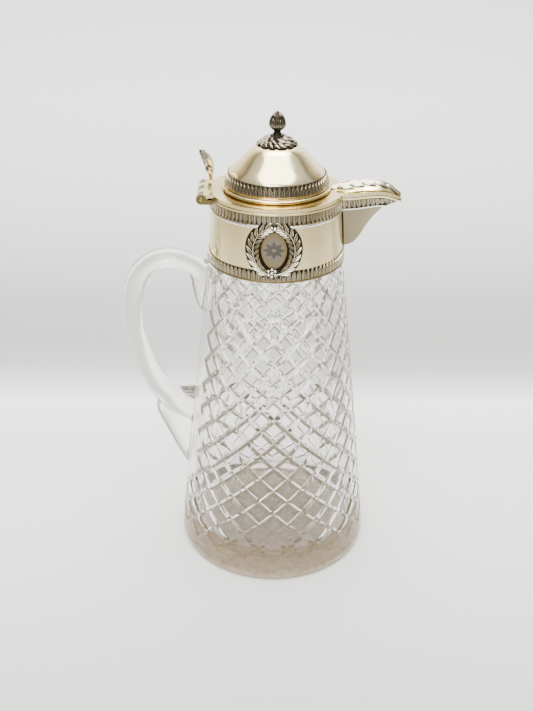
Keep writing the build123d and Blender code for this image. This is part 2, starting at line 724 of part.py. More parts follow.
def dome_seat(height):
    """The dome's radius at a height within its leaf band, taken as a straight slope."""
    share = (height - dome_base) / (dome_points[0][1] - dome_base)
    return dome_radius + (dome_points[0][0] + 0.1 - dome_radius) * share


with BuildPart() as dome_leaf_band:
    add(leaf_band(dome_base, dome_base + band_height, dome_seat, dome_band_leaves, True))
    add(dome_form, mode=Mode.SUBTRACT)
finish(dome_leaf_band, "dome_leaf_band")

# ---------------------------------------------------------------- leaf on the spout cover
leaf_start = dome_radius + 2 * dome_foot_bead + 0.6
# stations: distance from the axis, height of the ridge over the cover, half width
leaf_stations = [(leaf_start, 0.9, 2.6)]
leaf_stations += [(collar_top_radius + out, ridge, half)
                  for out, ridge, half in ((0, 2.2, 6.4), (8, 3.8, 7.4), (16, cover_leaf_height, 6.6),
                                           (23, 3.9, 5.0), (29, 2.6, 3.2), (spout_reach - 1.2, 1.2, 0.9))]


def cover_top(x):
    """Height of the top of the spout cover at a distance from the axis."""
    run = [(rim_run_start, rim_split_height)] + rim_run
    for (x0, z0), (x1, z1) in zip(run, run[1:]):
        if x <= x1:
            return (z0 if x < x0 else z0 + (z1 - z0) * (x - x0) / (x1 - x0)) + lid_gap + lid_plate_thickness
    return run[-1][1] + lid_gap + lid_plate_thickness


with BuildPart() as cover_leaf:
    for x, ridge, half in leaf_stations:
        seat = cover_top(x) - 1.2
        crown = cover_top(x) + ridge
        with BuildSketch(Plane((x, 0, 0), x_dir=(0, 1, 0), z_dir=(1, 0, 0))):
            Polygon((-half, seat), (half, seat), (half, seat + 1.7), (0.9, crown), (-0.9, crown),
                    (-half, seat + 1.7), align=None)
    loft()
    add(lid_plate.part, mode=Mode.SUBTRACT)
    with BuildSketch(Plane.XZ):
        with Locations((spout_tip, rim_run[-1][1] - 10)):
            Rectangle(60, 9, align=(Align.CENTER, Align.MIN))
    extrude(amount=20, both=True, mode=Mode.SUBTRACT)
finish(cover_leaf, "cover_leaf")

# ---------------------------------------------------------------- finial
with BuildPart() as finial_rosette:
    with BuildSketch(Plane.XZ):
        with BuildLine():
            Polyline((0, dome_top - 6), (0, dome_top + rosette_thickness),
                     (finial_ring_radius, dome_top + rosette_thickness))
            Spline((finial_ring_radius, dome_top + rosette_thickness),
                   (rosette_radius * 0.7, dome_points[3][1] + rosette_thickness * 2.1),
                   (rosette_radius, dome_points[3][1] + rosette_thickness * 1.1))
            Polyline((rosette_radius, dome_points[3][1] + rosette_thickness * 1.1),
                     (rosette_radius, dome_points[3][1] - 1), (0, dome_top - 6))
        make_face()
    revolve(axis=Axis.Z)
    with BuildSketch(Plane.XY.offset(dome_top - 10)):
        with PolarLocations(rosette_radius + 0.6, rosette_leaves):
            RegularPolygon(2.0, 4, rotation=45)
    extrude(amount=20, mode=Mode.SUBTRACT)
    add(dome_form, mode=Mode.SUBTRACT)
    with Locations((0, 0, dome_top)):
        Cylinder(stud_radius, 4 * dome_wall, mode=Mode.SUBTRACT)
finish(finial_rosette, "finial_rosette")

finial_foot = dome_top + rosette_thickness
bud_foot = finial_foot + finial_ring_height + finial_neck_height
bud_waist = 0.38            # share of the bud's height where it is widest
stud_socket = 4.0

with BuildPart() as finial:
    with BuildSketch(Plane.XZ):
        with BuildLine():
            ring_top = finial_foot + finial_ring_height
            Polyline((0, finial_foot), (finial_ring_radius, finial_foot))
            ThreePointArc((finial_ring_radius, finial_foot),
                          (finial_ring_radius + 0.5, (finial_foot + ring_top) / 2),
                          (finial_ring_radius, ring_top))
            Line((finial_ring_radius, ring_top), (finial_neck_radius + 0.6, ring_top))
            ThreePointArc((finial_neck_radius + 0.6, ring_top),
                          (finial_neck_radius, (ring_top + bud_foot) / 2), (finial_neck_radius + 0.3, bud_foot))
            Spline((finial_neck_radius + 0.3, bud_foot),
                   (finial_bud_radius, bud_foot + finial_bud_height * bud_waist),
                   (finial_bud_radius * 0.62, bud_foot + finial_bud_height * 0.76),
                   (0, bud_foot + finial_bud_height), tangents=((1, 0.35), (-0.6, 1)))
            Line((0, bud_foot + finial_bud_height), (0, finial_foot))
        make_face()
    revolve(axis=Axis.Z)
    with Locations((0, 0, finial_foot)):
        Cylinder(stud_radius, stud_socket, align=(Align.CENTER, Align.CENTER, Align.MIN), mode=Mode.SUBTRACT)
finish(finial, "finial")

stud_length = stud_socket + rosette_thickness + dome_wall + nut_height + 1.0

with BuildPart() as finial_stud:
    with Locations((0, 0, finial_foot + stud_socket)):
        Cylinder(stud_radius, stud_length, align=(Align.CENTER, Align.CENTER, Align.MAX))
finish(finial_stud, "finial_stud")

with BuildPart() as finial_nut:
    with BuildSketch(Plane.XY.offset(dome_top - dome_wall - nut_height)):
        RegularPolygon(nut_radius, 6)
        Circle(stud_radius, mode=Mode.SUBTRACT)
    extrude(amount=nut_height + dome_wall / 2)
    add(lid_dome.part, mode=Mode.SUBTRACT)
finish(finial_nut, "finial_nut")

# ---------------------------------------------------------------- thumbpiece
thumb_foot = -(hinge_reach - 5.2)
thumb_bulge = (thumb_foot + 1.3, plate_top + thumb_height * 0.45)
thumb_tip = (thumb_foot - 4.6, plate_top + thumb_height)

with BuildPart() as thumbpiece:
    with BuildSketch(Plane.XZ):
        with BuildLine():
            front = ThreePointArc((thumb_foot + thumb_thickness / 2, plate_top),
                                  (thumb_bulge[0] + thumb_thickness / 2, thumb_bulge[1]),
                                  (thumb_tip[0] + thumb_thickness / 2, thumb_tip[1]))
            back = ThreePointArc((thumb_foot - thumb_thickness / 2, plate_top),
                                 (thumb_bulge[0] - thumb_thickness / 2, thumb_bulge[1] - 0.4),
                                 (thumb_tip[0] - thumb_thickness / 2, thumb_tip[1] - 0.8))
            Line(front @ 0, back @ 0)
            Line(front @ 1, back @ 1)
        make_face()
    extrude(amount=thumb_width, both=True)
    with BuildSketch(Plane.YZ.offset(thumb_tip[0] - 10)):
        fan_centre = plate_top + thumb_height * 0.42
        lobe_length = thumb_height * 0.6
        with Locations((0, plate_top)):
            Trapezoid(thumb_width * 0.5, fan_centre - plate_top, 80, align=(Align.CENTER, Align.MIN))
        with Locations((thumb_width * 0.24, plate_top + 6.5), (-thumb_width * 0.24, plate_top + 6.5)):
            Circle(2.4)
        for lobe in range(thumb_lobes):
            lean = radians((lobe - (thumb_lobes - 1) / 2) * 150 / (thumb_lobes - 1) * 0.75)
            reach = lobe_length / 2 * (1 - 0.12 * abs(sin(lean)))
            with Locations(Location((reach * sin(lean), fan_centre + reach * cos(lean), 0),
                                    (0, 0, -degrees(lean)))):
                Ellipse(2.0, reach)
    extrude(amount=30, mode=Mode.INTERSECT)
finish(thumbpiece, "thumbpiece")
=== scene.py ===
from math import atan2, ceil, cos, hypot, pi, radians, sin, sqrt

import bmesh
import bpy
from mathutils import Matrix, Vector


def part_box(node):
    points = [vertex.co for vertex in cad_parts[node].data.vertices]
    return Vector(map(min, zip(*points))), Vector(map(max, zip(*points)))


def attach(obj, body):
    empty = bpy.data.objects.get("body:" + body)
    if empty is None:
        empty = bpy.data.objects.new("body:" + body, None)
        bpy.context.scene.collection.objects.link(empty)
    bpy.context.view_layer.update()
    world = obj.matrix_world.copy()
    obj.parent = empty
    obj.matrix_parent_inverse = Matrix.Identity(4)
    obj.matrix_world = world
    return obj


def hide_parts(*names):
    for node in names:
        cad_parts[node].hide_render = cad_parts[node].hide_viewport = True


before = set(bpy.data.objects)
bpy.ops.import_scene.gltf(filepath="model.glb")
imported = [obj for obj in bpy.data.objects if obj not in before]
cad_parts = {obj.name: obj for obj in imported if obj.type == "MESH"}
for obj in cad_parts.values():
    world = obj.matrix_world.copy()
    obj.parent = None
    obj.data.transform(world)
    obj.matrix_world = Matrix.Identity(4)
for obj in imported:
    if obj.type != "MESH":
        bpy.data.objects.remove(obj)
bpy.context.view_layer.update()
MM = 0.001


# -------------------------------- sizes read from the frame, in mm
def box_of(node):
    """The lowest and highest corners of a node of the frame, in mm."""
    return [[value / MM for value in corner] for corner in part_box(node)]


collar_box, rim_box, dome_box = box_of("neck_collar"), box_of("collar_rim"), box_of("lid_dome")
finial_box, rosette_box = box_of("finial"), box_of("finial_rosette")
rim_reach, dome_foot_height = 0.9, 4.0
shoulder_height, collar_top = collar_box[0][2], collar_box[1][2]
collar_foot_radius, collar_top_radius = collar_box[1][1], rim_box[1][1] - rim_reach
rim_split = rim_box[1][2]
dome_base, dome_top, dome_radius = dome_box[0][2], dome_box[1][2], dome_box[1][1]
plate_top = dome_base - dome_foot_height

# -------------------------------- sizes of the glass and its mount, in mm
heel_radius, heel_height, foot_radius = 61.4, 5.0, 58.5
foot_ring_width, foot_recess = 9.0, 1.6
shoulder_radius, side_bulge = 39.8, 0.7
body_wall, floor_thickness, heel_inner_radius = 5.0, 10.0, 14.0
neck_radius, neck_wall, neck_height = 35.6, 3.8, 13.0
band_height, band_leaves, dome_band_leaves = 5.7, 88, 68
foot_wire_height, rim_height = 1.6, 1.4


# -------------------------------- working in Blender
def deselect():
    if bpy.context.object and bpy.context.object.mode != "OBJECT":
        bpy.ops.object.mode_set(mode="OBJECT")
    bpy.ops.object.select_all(action="DESELECT")


def activate(piece):
    deselect()
    piece.select_set(True)
    bpy.context.view_layer.objects.active = piece


def named(name):
    piece = bpy.context.object
    piece.name = name
    piece.data.name = name
    return piece


def apply_modifier(piece, kind, **settings):
    activate(piece)
    modifier = piece.modifiers.new(kind.lower(), kind)
    for key, value in settings.items():
        setattr(modifier, key, value)
    bpy.ops.object.modifier_apply(modifier=modifier.name)
    return piece


def settle(piece):
    """Puts the piece's place in its mesh."""
    piece.data.transform(piece.matrix_world)
    piece.matrix_world = Matrix.Identity(4)
    return piece


def smooth(piece, angle=35):
    activate(piece)
    bpy.ops.object.shade_smooth_by_angle(angle=radians(angle))
    return piece


def outward(piece, gap=1e-6):
    activate(piece)
    bpy.ops.object.mode_set(mode="EDIT")
    bpy.ops.mesh.select_all(action="SELECT")
    bpy.ops.mesh.remove_doubles(threshold=gap)
    bpy.ops.mesh.normals_make_consistent(inside=False)
    bpy.ops.object.mode_set(mode="OBJECT")
    return piece


def join(pieces, name):
    deselect()
    for piece in pieces:
        piece.select_set(True)
    bpy.context.view_layer.objects.active = pieces[0]
    if len(pieces) > 1:
        bpy.ops.object.join()
    return named(name)


def turned(name, profile, segments):
    """Turns a profile of (radius, height) round the axis: a circle is drawn out ring by ring.
    An end of the profile that lies on the axis is closed to a point."""
    on_axis = 0.01
    deselect()
    radius, height = max(profile[0][0], on_axis), profile[0][1]
    bpy.ops.mesh.primitive_circle_add(vertices=segments, radius=radius * MM, location=(0, 0, height * MM))
    piece = settle(named(name))
    bpy.ops.object.mode_set(mode="EDIT")
    bpy.ops.mesh.select_all(action="SELECT")
    for new_radius, new_height in profile[1:]:
        rise, share = (new_height - height) * MM, max(new_radius, on_axis) / radius
        bpy.ops.mesh.extrude_region_move(TRANSFORM_OT_translate={"value": (0, 0, rise)})
        bpy.ops.transform.resize(value=(share, share, 1), center_override=(0, 0, 0))
        radius, height = max(new_radius, on_axis), new_height
    bpy.ops.mesh.select_all(action="SELECT")
    bpy.ops.mesh.remove_doubles(threshold=0.002 * MM)
    for end_radius, end_height in (profile[0], profile[-1]):
        if end_radius == 0:
            bpy.ops.mesh.select_all(action="DESELECT")
            bpy.ops.object.mode_set(mode="OBJECT")
            for vertex in piece.data.vertices:
                x, y, z = vertex.co / MM
                vertex.select = hypot(x, y) < 2 * on_axis and abs(z - end_height) < 0.02
            bpy.ops.object.mode_set(mode="EDIT")
            bpy.ops.mesh.merge(type="CENTER")
    bpy.ops.mesh.select_all(action="SELECT")
    bpy.ops.mesh.normals_make_consistent(inside=False)
    bpy.ops.object.mode_set(mode="OBJECT")
    return piece


def sheet_mesh(name, rows, wrap=False):
    """A grid whose points are put on rows of places, in mm. Wrapped, its last column meets its first."""
    rows = [[*row, row[0]] if wrap else row for row in rows]
    deselect()
    bpy.ops.mesh.primitive_grid_add(x_subdivisions=len(rows[0]) - 1, y_subdivisions=len(rows) - 1)
    piece = named(name)
    for vertex, place in zip(piece.data.vertices, [place for row in rows for place in row]):
        vertex.co = Vector(place) * MM
    if wrap:
        outward(piece, 1e-8)
    return piece


def ring_angles(count):
    return [2 * pi * part / count for part in range(count)]


def filled(piece):
    """Closes every open end of a piece."""
    activate(piece)
    bpy.ops.object.mode_set(mode="EDIT")
    bpy.ops.mesh.select_all(action="SELECT")
    bpy.ops.mesh.fill_holes(sides=0)
    bpy.ops.mesh.select_all(action="SELECT")
    bpy.ops.mesh.normals_make_consistent(inside=False)
    bpy.ops.object.mode_set(mode="OBJECT")
    return piece


def copied(piece):
    copy = piece.copy()
    copy.data = piece.data.copy()
    bpy.context.scene.collection.objects.link(copy)
    return copy


def spread(model, name, places, lay):
    """Copies of a model as one piece: lay turns a place and a point of the model into a point in mm."""
    copies = []
    for place in places:
        copy = copied(model)
        for vertex in copy.data.vertices:
            vertex.co = Vector(lay(place, *vertex.co)) * MM
        copies.append(copy)
    bpy.data.objects.remove(model)
    return join(copies, name)


def blend_points(points, share):
    """A smooth curve through the points (Catmull-Rom), at a share of its length in steps."""
    last = len(points) - 1
    place = min(max(share, 0), 1) * last
    index = min(int(place), last - 1)
    part = place - index
    p0, p1, p2, p3 = (points[min(max(index + step, 0), last)] for step in (-1, 0, 1, 2))
    return tuple(0.5 * (2 * b + (c - a) * part + (2 * a - 5 * b + 4 * c - d) * part ** 2
                        + (3 * b - a - 3 * c + d) * part ** 3) for a, b, c, d in zip(p0, p1, p2, p3))


def collar_radius(height):
    share = (height - shoulder_height) / (collar_top - shoulder_height)
    return collar_foot_radius + (collar_top_radius - collar_foot_radius) * share


# -------------------------------- cut glass body with its handle
cells_round = 20            # diamonds in each row
cell_height = 16.29
first_node = 16.3           # lowest crossing of the cuts
cut_depth = 1.25
cut_share = 0.29            # share of a half cell that the cut takes
cut_lines = (-1, cut_share - 1, (cut_share - 1) / 3, (1 - cut_share) / 3, 1 - cut_share, 1)
panel_cells = 3             # the panel round the handle is left uncut, in half cells each side
panel_foot = 2              # the row where its lower point lies
handle_column = 3 * cells_round // 2
trim_height = 11.0          # the cut side ends here and the ground heel begins


def side_radius(height):
    share = (height - heel_height) / (shoulder_height - heel_height)
    return heel_radius + (shoulder_radius - heel_radius) * share + 4 * side_bulge * share * (1 - share)


def is_cut(column, row):
    if row < 1:
        return False
    away = abs((column - handle_column + cells_round) % (2 * cells_round) - cells_round)
    return not (away <= panel_cells and row >= panel_foot + 1 + away)


def cell_point(column, row, u, v):
    """Where a point of a diamond lies, in mm: u and v run from -1 to 1 along its two pairs of sides.
    A side is cut where either of its two cells is cut, and a corner where any of its four cells is."""
    around = []
    if abs(u) == 1:
        around += [(0, 0), (u, u)]
    if abs(v) == 1:
        around += [(0, 0), (-v, v)]
    if abs(u) == abs(v) == 1:
        around.append((u - v, u + v))
    sunk = any(is_cut(column + across, row + up) for across, up in around)
    angle = radians(-90) + (column + (u - v) / 2) * pi / cells_round
    height = first_node + (row + (u + v) / 2) * cell_height / 2
    radius = side_radius(height) - (cut_depth if sunk else 0)
    return radius * cos(angle), radius * sin(angle), height


def diamond():
    """One cell of the cutting, from -1 to 1 both ways, its squares split so that the mitres stay sharp."""
    deselect()
    squares = len(cut_lines) - 1
    bpy.ops.mesh.primitive_grid_add(x_subdivisions=squares, y_subdivisions=squares, size=2)
    piece = named("diamond")
    bpy.ops.object.mode_set(mode="EDIT")
    bpy.ops.mesh.select_all(action="DESELECT")
    mesh = bmesh.from_edit_mesh(piece.data)
    for face in mesh.faces:
        across, along, _ = face.calc_center_median()
        face.select_set((across < -0.2) == (along < -0.2))
    bmesh.update_edit_mesh(piece.data)
    bpy.ops.mesh.quads_convert_to_tris(quad_method="FIXED")
    bpy.ops.mesh.select_all(action="SELECT")
    bpy.ops.mesh.quads_convert_to_tris(quad_method="FIXED_ALTERNATE")
    bpy.ops.object.mode_set(mode="OBJECT")
    return piece


def cut_side():
    """The side of the body with its crossing mitre cuts."""
    top_row = ceil((shoulder_height - first_node) / (cell_height / 2)) + 1
    cells = [(column, row) for column in range(2 * cells_round) for row in range(-1, top_row + 1)
             if (column + row) % 2]

    def lay(cell, across, along, out):
        u, v = (cut_lines[round((step + 1) * (len(cut_lines) - 1) / 2)] for step in (across, along))
        return cell_point(*cell, u, v)
    side = spread(diamond(), "cut_side", cells, lay)
    bpy.ops.object.mode_set(mode="EDIT")
    bpy.ops.mesh.select_all(action="SELECT")
    bpy.ops.mesh.remove_doubles(threshold=0.01 * MM)
    for height, clear_low in ((trim_height, True), (shoulder_height, False)):
        bpy.ops.mesh.select_all(action="SELECT")
        bpy.ops.mesh.bisect(plane_co=(0, 0, height * MM), plane_no=(0, 0, 1), clear_inner=clear_low,
                            clear_outer=not clear_low)
    bpy.ops.object.mode_set(mode="OBJECT")
    return side


def arc_points(centre, radius, start, end, steps):
    turns = [radians(start + (end - start) * step / steps) for step in range(steps + 1)]
    return [(centre[0] + radius * cos(turn), centre[1] + radius * sin(turn)) for turn in turns]


def select_rim_loops(piece, height):
    """Selects the open edges that lie about a height."""
    activate(piece)
    bpy.ops.object.mode_set(mode="EDIT")
    bpy.ops.mesh.select_mode(type="EDGE")
    bpy.ops.mesh.select_all(action="DESELECT")
    near = 0.9
    mesh = bmesh.from_edit_mesh(piece.data)
    for edge in mesh.edges:
        beside = all(abs(vertex.co.z / MM - height) < near for vertex in edge.verts)
        edge.select_set(edge.is_boundary and beside)
    bmesh.update_edit_mesh(piece.data)


def glass_jug():
    """The blown body: its cut side, its inside and its ground heel, sewn together."""
    side = cut_side()
    neck_top, bore = shoulder_height + neck_height, neck_radius - neck_wall
    inner_top, inner_foot = shoulder_height - neck_height, floor_thickness + heel_inner_radius
    inside = [(neck_radius, shoulder_height), (neck_radius, neck_top - 1.2)]
    inside += arc_points((neck_radius - neck_wall / 2, neck_top - 1.9), neck_wall / 2, 20, 160, 6)
    inside += [(bore, neck_top - 2.4), (bore, shoulder_height - 2.5)]
    steps = 14
    for step in range(steps + 1):
        height = inner_top + (inner_foot - inner_top) * step / steps
        inside.append((side_radius(height) - body_wall, height))
    foot_inner = side_radius(inner_foot) - body_wall
    inside += arc_points((foot_inner - heel_inner_radius, inner_foot), heel_inner_radius, -10, -90, 9)
    inside.append((0, floor_thickness))
    inner = turned("jug_inside", inside, 120)
    ring_inner = foot_radius - foot_ring_width
    heel_curve = [(side_radius(trim_height - 0.5), trim_height - 0.5), (side_radius(8), 8),
                  (heel_radius - 0.05, heel_height + 0.8), (heel_radius - 0.35, heel_height - 1.6),
                  (heel_radius - 1.3, 1.5), (heel_radius - 2.2, 0.45), (foot_radius, 0),
                  (ring_inner, 0), (ring_inner - foot_recess, foot_recess), (0, foot_recess)]
    heel = turned("jug_heel", heel_curve, 160)
    jug = join([side, inner, heel], "cut_glass_jug")
    for height in (shoulder_height, trim_height):
        select_rim_loops(jug, height)
        bpy.ops.mesh.bridge_edge_loops()
        bpy.ops.object.mode_set(mode="OBJECT")
    return outward(jug)


# the arm's middle line as (x, z), and the drops of glass as height, reach from the wall and half width
handle_line = ((-34, 183), (-45, 190), (-56, 195.6), (-65, 197), (-73.5, 194.5), (-81.5, 187.5), (-86.2, 175),
               (-87.9, 158), (-86.8, 145), (-83, 131), (-78.3, 119), (-71.5, 107), (-61, 97.5), (-48, 90))
arm_thickness, arm_growth, arm_swelling, swelling_start = 11.8, 1.0, 6.0, 0.62
upper_drop = ((159, -1.5, 2.2), (165, 3.2, 4.2), (173, 6.6, 5.6), (181, 9.0, 6.4), (189, 10.6, 6.4),
              (195, 7.5, 4.8))
lower_tail = ((107, 13.0, 4.0), (104.5, 18.5, 6.0), (99, 24.0, 7.4), (91, 23.4, 8.0), (75, 14.9, 7.4),
              (61, 7.2, 5.4), (52, 1.8, 3.4), (48, -1.5, 2.0))


def handle_arm():
    """The round arm of the handle, thickening to its foot."""
    rows = []
    for step in range(49):
        share = step / 48
        x, z = blend_points(handle_line, share)
        x2, z2 = blend_points(handle_line, min(share + 0.005, 1))
        x1, z1 = blend_points(handle_line, max(share - 0.005, 0))
        slope = atan2(z2 - z1, x2 - x1)
        swelling = max(0, (share - swelling_start) / (1 - swelling_start)) ** 2
        radius = (arm_thickness + arm_growth * sin(pi * share / 2) + arm_swelling * swelling) / 2
        rows.append([(x - radius * sin(slope) * cos(turn), radius * sin(turn),
                      z + radius * cos(slope) * cos(turn)) for turn in ring_angles(32)])
    return sheet_mesh("arm", rows, wrap=True)


def handle_drop(name, stations):
    """Glass that ran down the body where the handle was stuck on, let into the body's wall."""
    let_in, thickness_inside, thinnest = 4, 3, 0.3
    rows = []
    for step in range(25):
        height, reach, half = blend_points(stations, step / 24)
        back, reach, half = let_in - side_radius(height), max(reach + let_in, 0), max(half, thinnest)
        rows.append([(back - (reach if cos(turn) > 0 else thickness_inside) * cos(turn), half * sin(turn),
                      height) for turn in ring_angles(28)])
    return sheet_mesh(name, rows, wrap=True)


def glass_handle():
    pieces = [handle_arm(), handle_drop("drop", upper_drop), handle_drop("tail", lower_tail)]
    handle = join([filled(piece) for piece in pieces], "handle")
    apply_modifier(handle, "REMESH", mode="VOXEL", voxel_size=0.9 * MM)
    return apply_modifier(handle, "SMOOTH", factor=0.7, iterations=16)


def build_glass():
    jug, handle = glass_jug(), glass_handle()
    apply_modifier(jug, "BOOLEAN", object=handle, operation="UNION", solver="EXACT")
    bpy.data.objects.remove(handle)
    return smooth(jug, 20)


# -------------------------------- leaves of the silver
# across a stiff leaf: place, height of the relief and how dark it is, from oxide and painted shade
leaf_half = ((-1.0, -0.2, 0.7), (-0.90, 0.5, 0.4), (-0.80, 1.0, 0.0), (-0.62, 1.0, 0.0), (-0.52, 0.1, 0.75),
             (-0.28, 0.1, 0.75), (-0.16, 0.8, 0.1))
leaf_columns = leaf_half + tuple((-place, rise, black) for place, rise, black in reversed(leaf_half))
leaf_relief, leaf_share = 0.5, 0.48       # how far it stands out, and its half width over its pitch


def bent_grid(name, columns, rows, bend):
    """A grid whose points, from -1 to 1 across and 0 to 1 along, go where bend puts them, in mm.
    Bend's fourth value is how dark the silver is there, from oxide and painted shade, kept as a point
    attribute of the grid."""
    deselect()
    bpy.ops.mesh.primitive_grid_add(x_subdivisions=columns, y_subdivisions=rows, size=2)
    piece = named(name)
    tarnish_and_shade = piece.data.attributes.new("tarnish_and_shade", "FLOAT", "POINT")
    for vertex, black in zip(piece.data.vertices, tarnish_and_shade.data):
        x, y, z, black.value = bend(vertex.co.x, (vertex.co.y + 1) / 2)
        vertex.co = (x, y, z)
    return piece


def stiff_leaf(half, length, relief):
    """An upright leaf with a raised edge and a midrib, in mm across, along and out."""
    def bend(across, along):
        place, rise, black = leaf_columns[round((across + 1) * (len(leaf_columns) - 1) / 2)]
        narrow = 1 if along < 0.5 else max(0.0, 1 - ((along - 0.5) / 0.5) ** 1.7)
        return place * half * narrow, along * length, rise * relief, black * (1 - 0.3 * along)
    return bent_grid("stiff_leaf", len(leaf_columns) - 1, 8, bend)


def laurel_leaf(half, length, relief, hollow=0.75):
    """A leaf pointed at both ends, with a raised edge round a sunk middle, darkened in the middle and at its
    outline by oxide and painted shade.
    """
    def bend(across, along):
        width = half * max(0.02, sin(pi * min(1, along * 0.95 + 0.04)) ** 0.7)
        edge = abs(across)
        lift = sin(pi * min(1, 0.1 + 0.9 * along)) ** 0.6
        crown = 0.62
        shape = 1 - ((edge - crown) / (1 - crown)) ** 2 if edge > crown else 1 - hollow * (1 - edge / crown)
        black = 0.9 if edge > 0.97 else max(0, 1 - edge / 0.5) * (0.8 - 0.35 * along)
        return across * width, along * length, relief * lift * shape - 0.2, black
    return bent_grid("laurel_leaf", 10, 8, bend)


def petal(relief, veins=0):
    """A domed petal or lobe, 1 long and 1 in half width, darkened along its edge as painted shade, with veins
    that branch from its middle and a darkened foot if it has any, darkened by oxide and painted shade."""
    def bend(across, along):
        width = max(0.02, sin(pi * min(1, 0.12 + along * 0.86)) ** 0.7)
        edge = abs(across)
        dome = sqrt(max(0, 1 - edge ** 2)) * (0.5 + 0.5 * sin(pi * along) ** 0.6)
        black = max(0, (edge - 0.6) / 0.4) ** 1.1
        if veins:
            vein = cos(2 * pi * (veins * along + edge * 0.9))
            dome += 0.13 * vein * edge
            black += 0.75 * max(0, -vein) * min(1, edge * 2.5) + 0.8 * max(0, 0.25 - along) * 4
        return across * width, along, relief * dome - 0.25, min(1, black)
    return bent_grid("petal", 10, 12, bend)


def laid(leaf, name, places, lay):
    """Copies of a leaf, laid on a surface as spread does."""
    return smooth(outward(spread(leaf, name, places, lay), 1e-8), 50)


def ring_lay(count, foot, direction, radius_at):
    """Lays leaves upright round the axis, from their foot up or down."""
    def lay(place, across, along, out):
        height = foot + direction * along
        radius = radius_at(height) + out
        turn = 2 * pi * (place + 0.5) / count + across / radius
        return radius * cos(turn), radius * sin(turn), height
    return lay


band_thickness = 0.5
spout_half_angle = 16
dome_draw, dome_draw_share = 0.055, 0.23  # how far the dome draws in up to where its band ends


def band_leaf(radius, count, clearance=0.2):
    """A leaf for a band that has a number of them round a radius."""
    return stiff_leaf(2 * pi * radius / count * leaf_share, band_height - clearance, leaf_relief)


def collar_band_radius(height):
    return collar_radius(height) + band_thickness


def dome_band_radius(height):
    climbed = (height - dome_base) / ((dome_top - dome_base) * dome_draw_share)
    return dome_radius - (dome_radius * dome_draw - 0.1) * climbed + band_thickness


def upper_band():
    """Leaves that hang from the rim, but where the spout opens."""
    beside_spout = [place for place in range(band_leaves)
                    if cos(2 * pi * (place + 0.5) / band_leaves) < cos(radians(spout_half_angle))]
    return laid(band_leaf(collar_top_radius, band_leaves), "upper_band_leaves", beside_spout,
                ring_lay(band_leaves, collar_top, -1, collar_band_radius))


def lower_band():
    """Leaves that stand on the foot wire."""
    return laid(band_leaf(collar_foot_radius, band_leaves), "lower_band_leaves", range(band_leaves),
                ring_lay(band_leaves, shoulder_height + foot_wire_height, 1, collar_band_radius))


def dome_band():
    """Leaves that stand round the foot of the dome."""
    return laid(band_leaf(dome_radius, dome_band_leaves, 0.1), "dome_band_leaves", range(dome_band_leaves),
                ring_lay(dome_band_leaves, dome_base, 1, dome_band_radius))


# -------------------------------- laurel wreath on the collar
wreath_middle = shoulder_height + 18.9
wreath_half_width, wreath_half_height = 11.7, 13.6
wreath_pairs, wreath_shift = 10, -1.4
branch_start, branch_end = -72, 72
outer_lean, outer_length, inner_lean, inner_length, inner_slim = 33, 6.1, 50, 5.3, 0.82
stem_start, stem_end, stem_radius, stem_rise = -84, 86, 0.3, 0.5
flower_height, flower_aside, flower_reach = shoulder_height + 6.6, -1.0, 2.15
ground_rise, ground_reach = 0.95, 4.4
end_aside, end_height = 0.4, wreath_middle + wreath_half_height     # where the two branches meet at the top


def on_collar(x, z, out):
    """A point in front of the collar, standing out from it."""
    radius = collar_radius(z) + out
    x += wreath_shift
    return x, -sqrt(radius ** 2 - x ** 2), z


def wreath_point(side, turn, reach=0.0):
    """A point of a branch, or beside it: the branches are narrower at their two ends."""
    reach *= 1 - 0.3 * sin(turn) ** 4
    return ((wreath_half_width + reach) * side * cos(turn),
            wreath_middle + (wreath_half_height + reach) * sin(turn))


def wreath_stem(side):
    rows = []
    for step in range(41):
        turn = radians(stem_start + (stem_end - stem_start) * step / 40)
        x, z = wreath_point(side, turn)
        rows.append([on_collar(x + stem_radius * cos(spin) * side * cos(turn),
                               z + stem_radius * cos(spin) * sin(turn),
                               ground_rise + stem_rise + stem_radius * sin(spin)) for spin in ring_angles(8)])
    return filled(sheet_mesh("stem", rows, wrap=True))


def wreath():
    """Two branches with a stem and pairs of leaves that lean up along it, slimmer on the inner side."""
    places = []
    for side in (1, -1):
        for pair in range(wreath_pairs):
            turn = radians(branch_start + (branch_end - branch_start) * pair / (wreath_pairs - 0.4))
            x, z = wreath_point(side, turn)
            heading = atan2(wreath_half_height * cos(turn), -side * wreath_half_width * sin(turn))
            flat = (0.45 if turn > 0 else 0.3) * sin(turn) ** 4
            for lean, lift, slim, length in ((-outer_lean, 0.04, 1, outer_length),
                                             (inner_lean, 0.1, inner_slim, inner_length)):
                lean = side * radians(lean) * (1 - flat)
                places.append((x, z, heading + lean, -slim if lean > 0 else slim, lift, slim, length))

    def lay(place, across, along, out):
        x, z, heading, curl, lift, slim, length = place
        along *= length
        across = across * slim + curl * 0.018 * along ** 2
        x += along * cos(heading) - across * sin(heading)
        z += along * sin(heading) + across * cos(heading)
        return on_collar(x, z, ground_rise + 0.1 + out + lift * along)
    leaves = laid(laurel_leaf(1.16, 1.0, 1.0, 0.6), "leaves", places, lay)
    return smooth(join([leaves, wreath_stem(1), wreath_stem(-1)], "wreath_leaves"), 50)


def wreath_ground():
    """The dark sunk ground that shows between and round the leaves: painted shadow of the wreath, and oxide.
    """
    bevel = 0.5
    rows = [[on_collar(*wreath_point(1, turn, reach), out) for turn in ring_angles(96)]
            for reach, out in ((-ground_reach, 0.02), (bevel - ground_reach, ground_rise),
                               (ground_reach - bevel, ground_rise), (ground_reach, 0.02))]
    return smooth(outward(sheet_mesh("wreath_ground", rows, wrap=True)), 50)


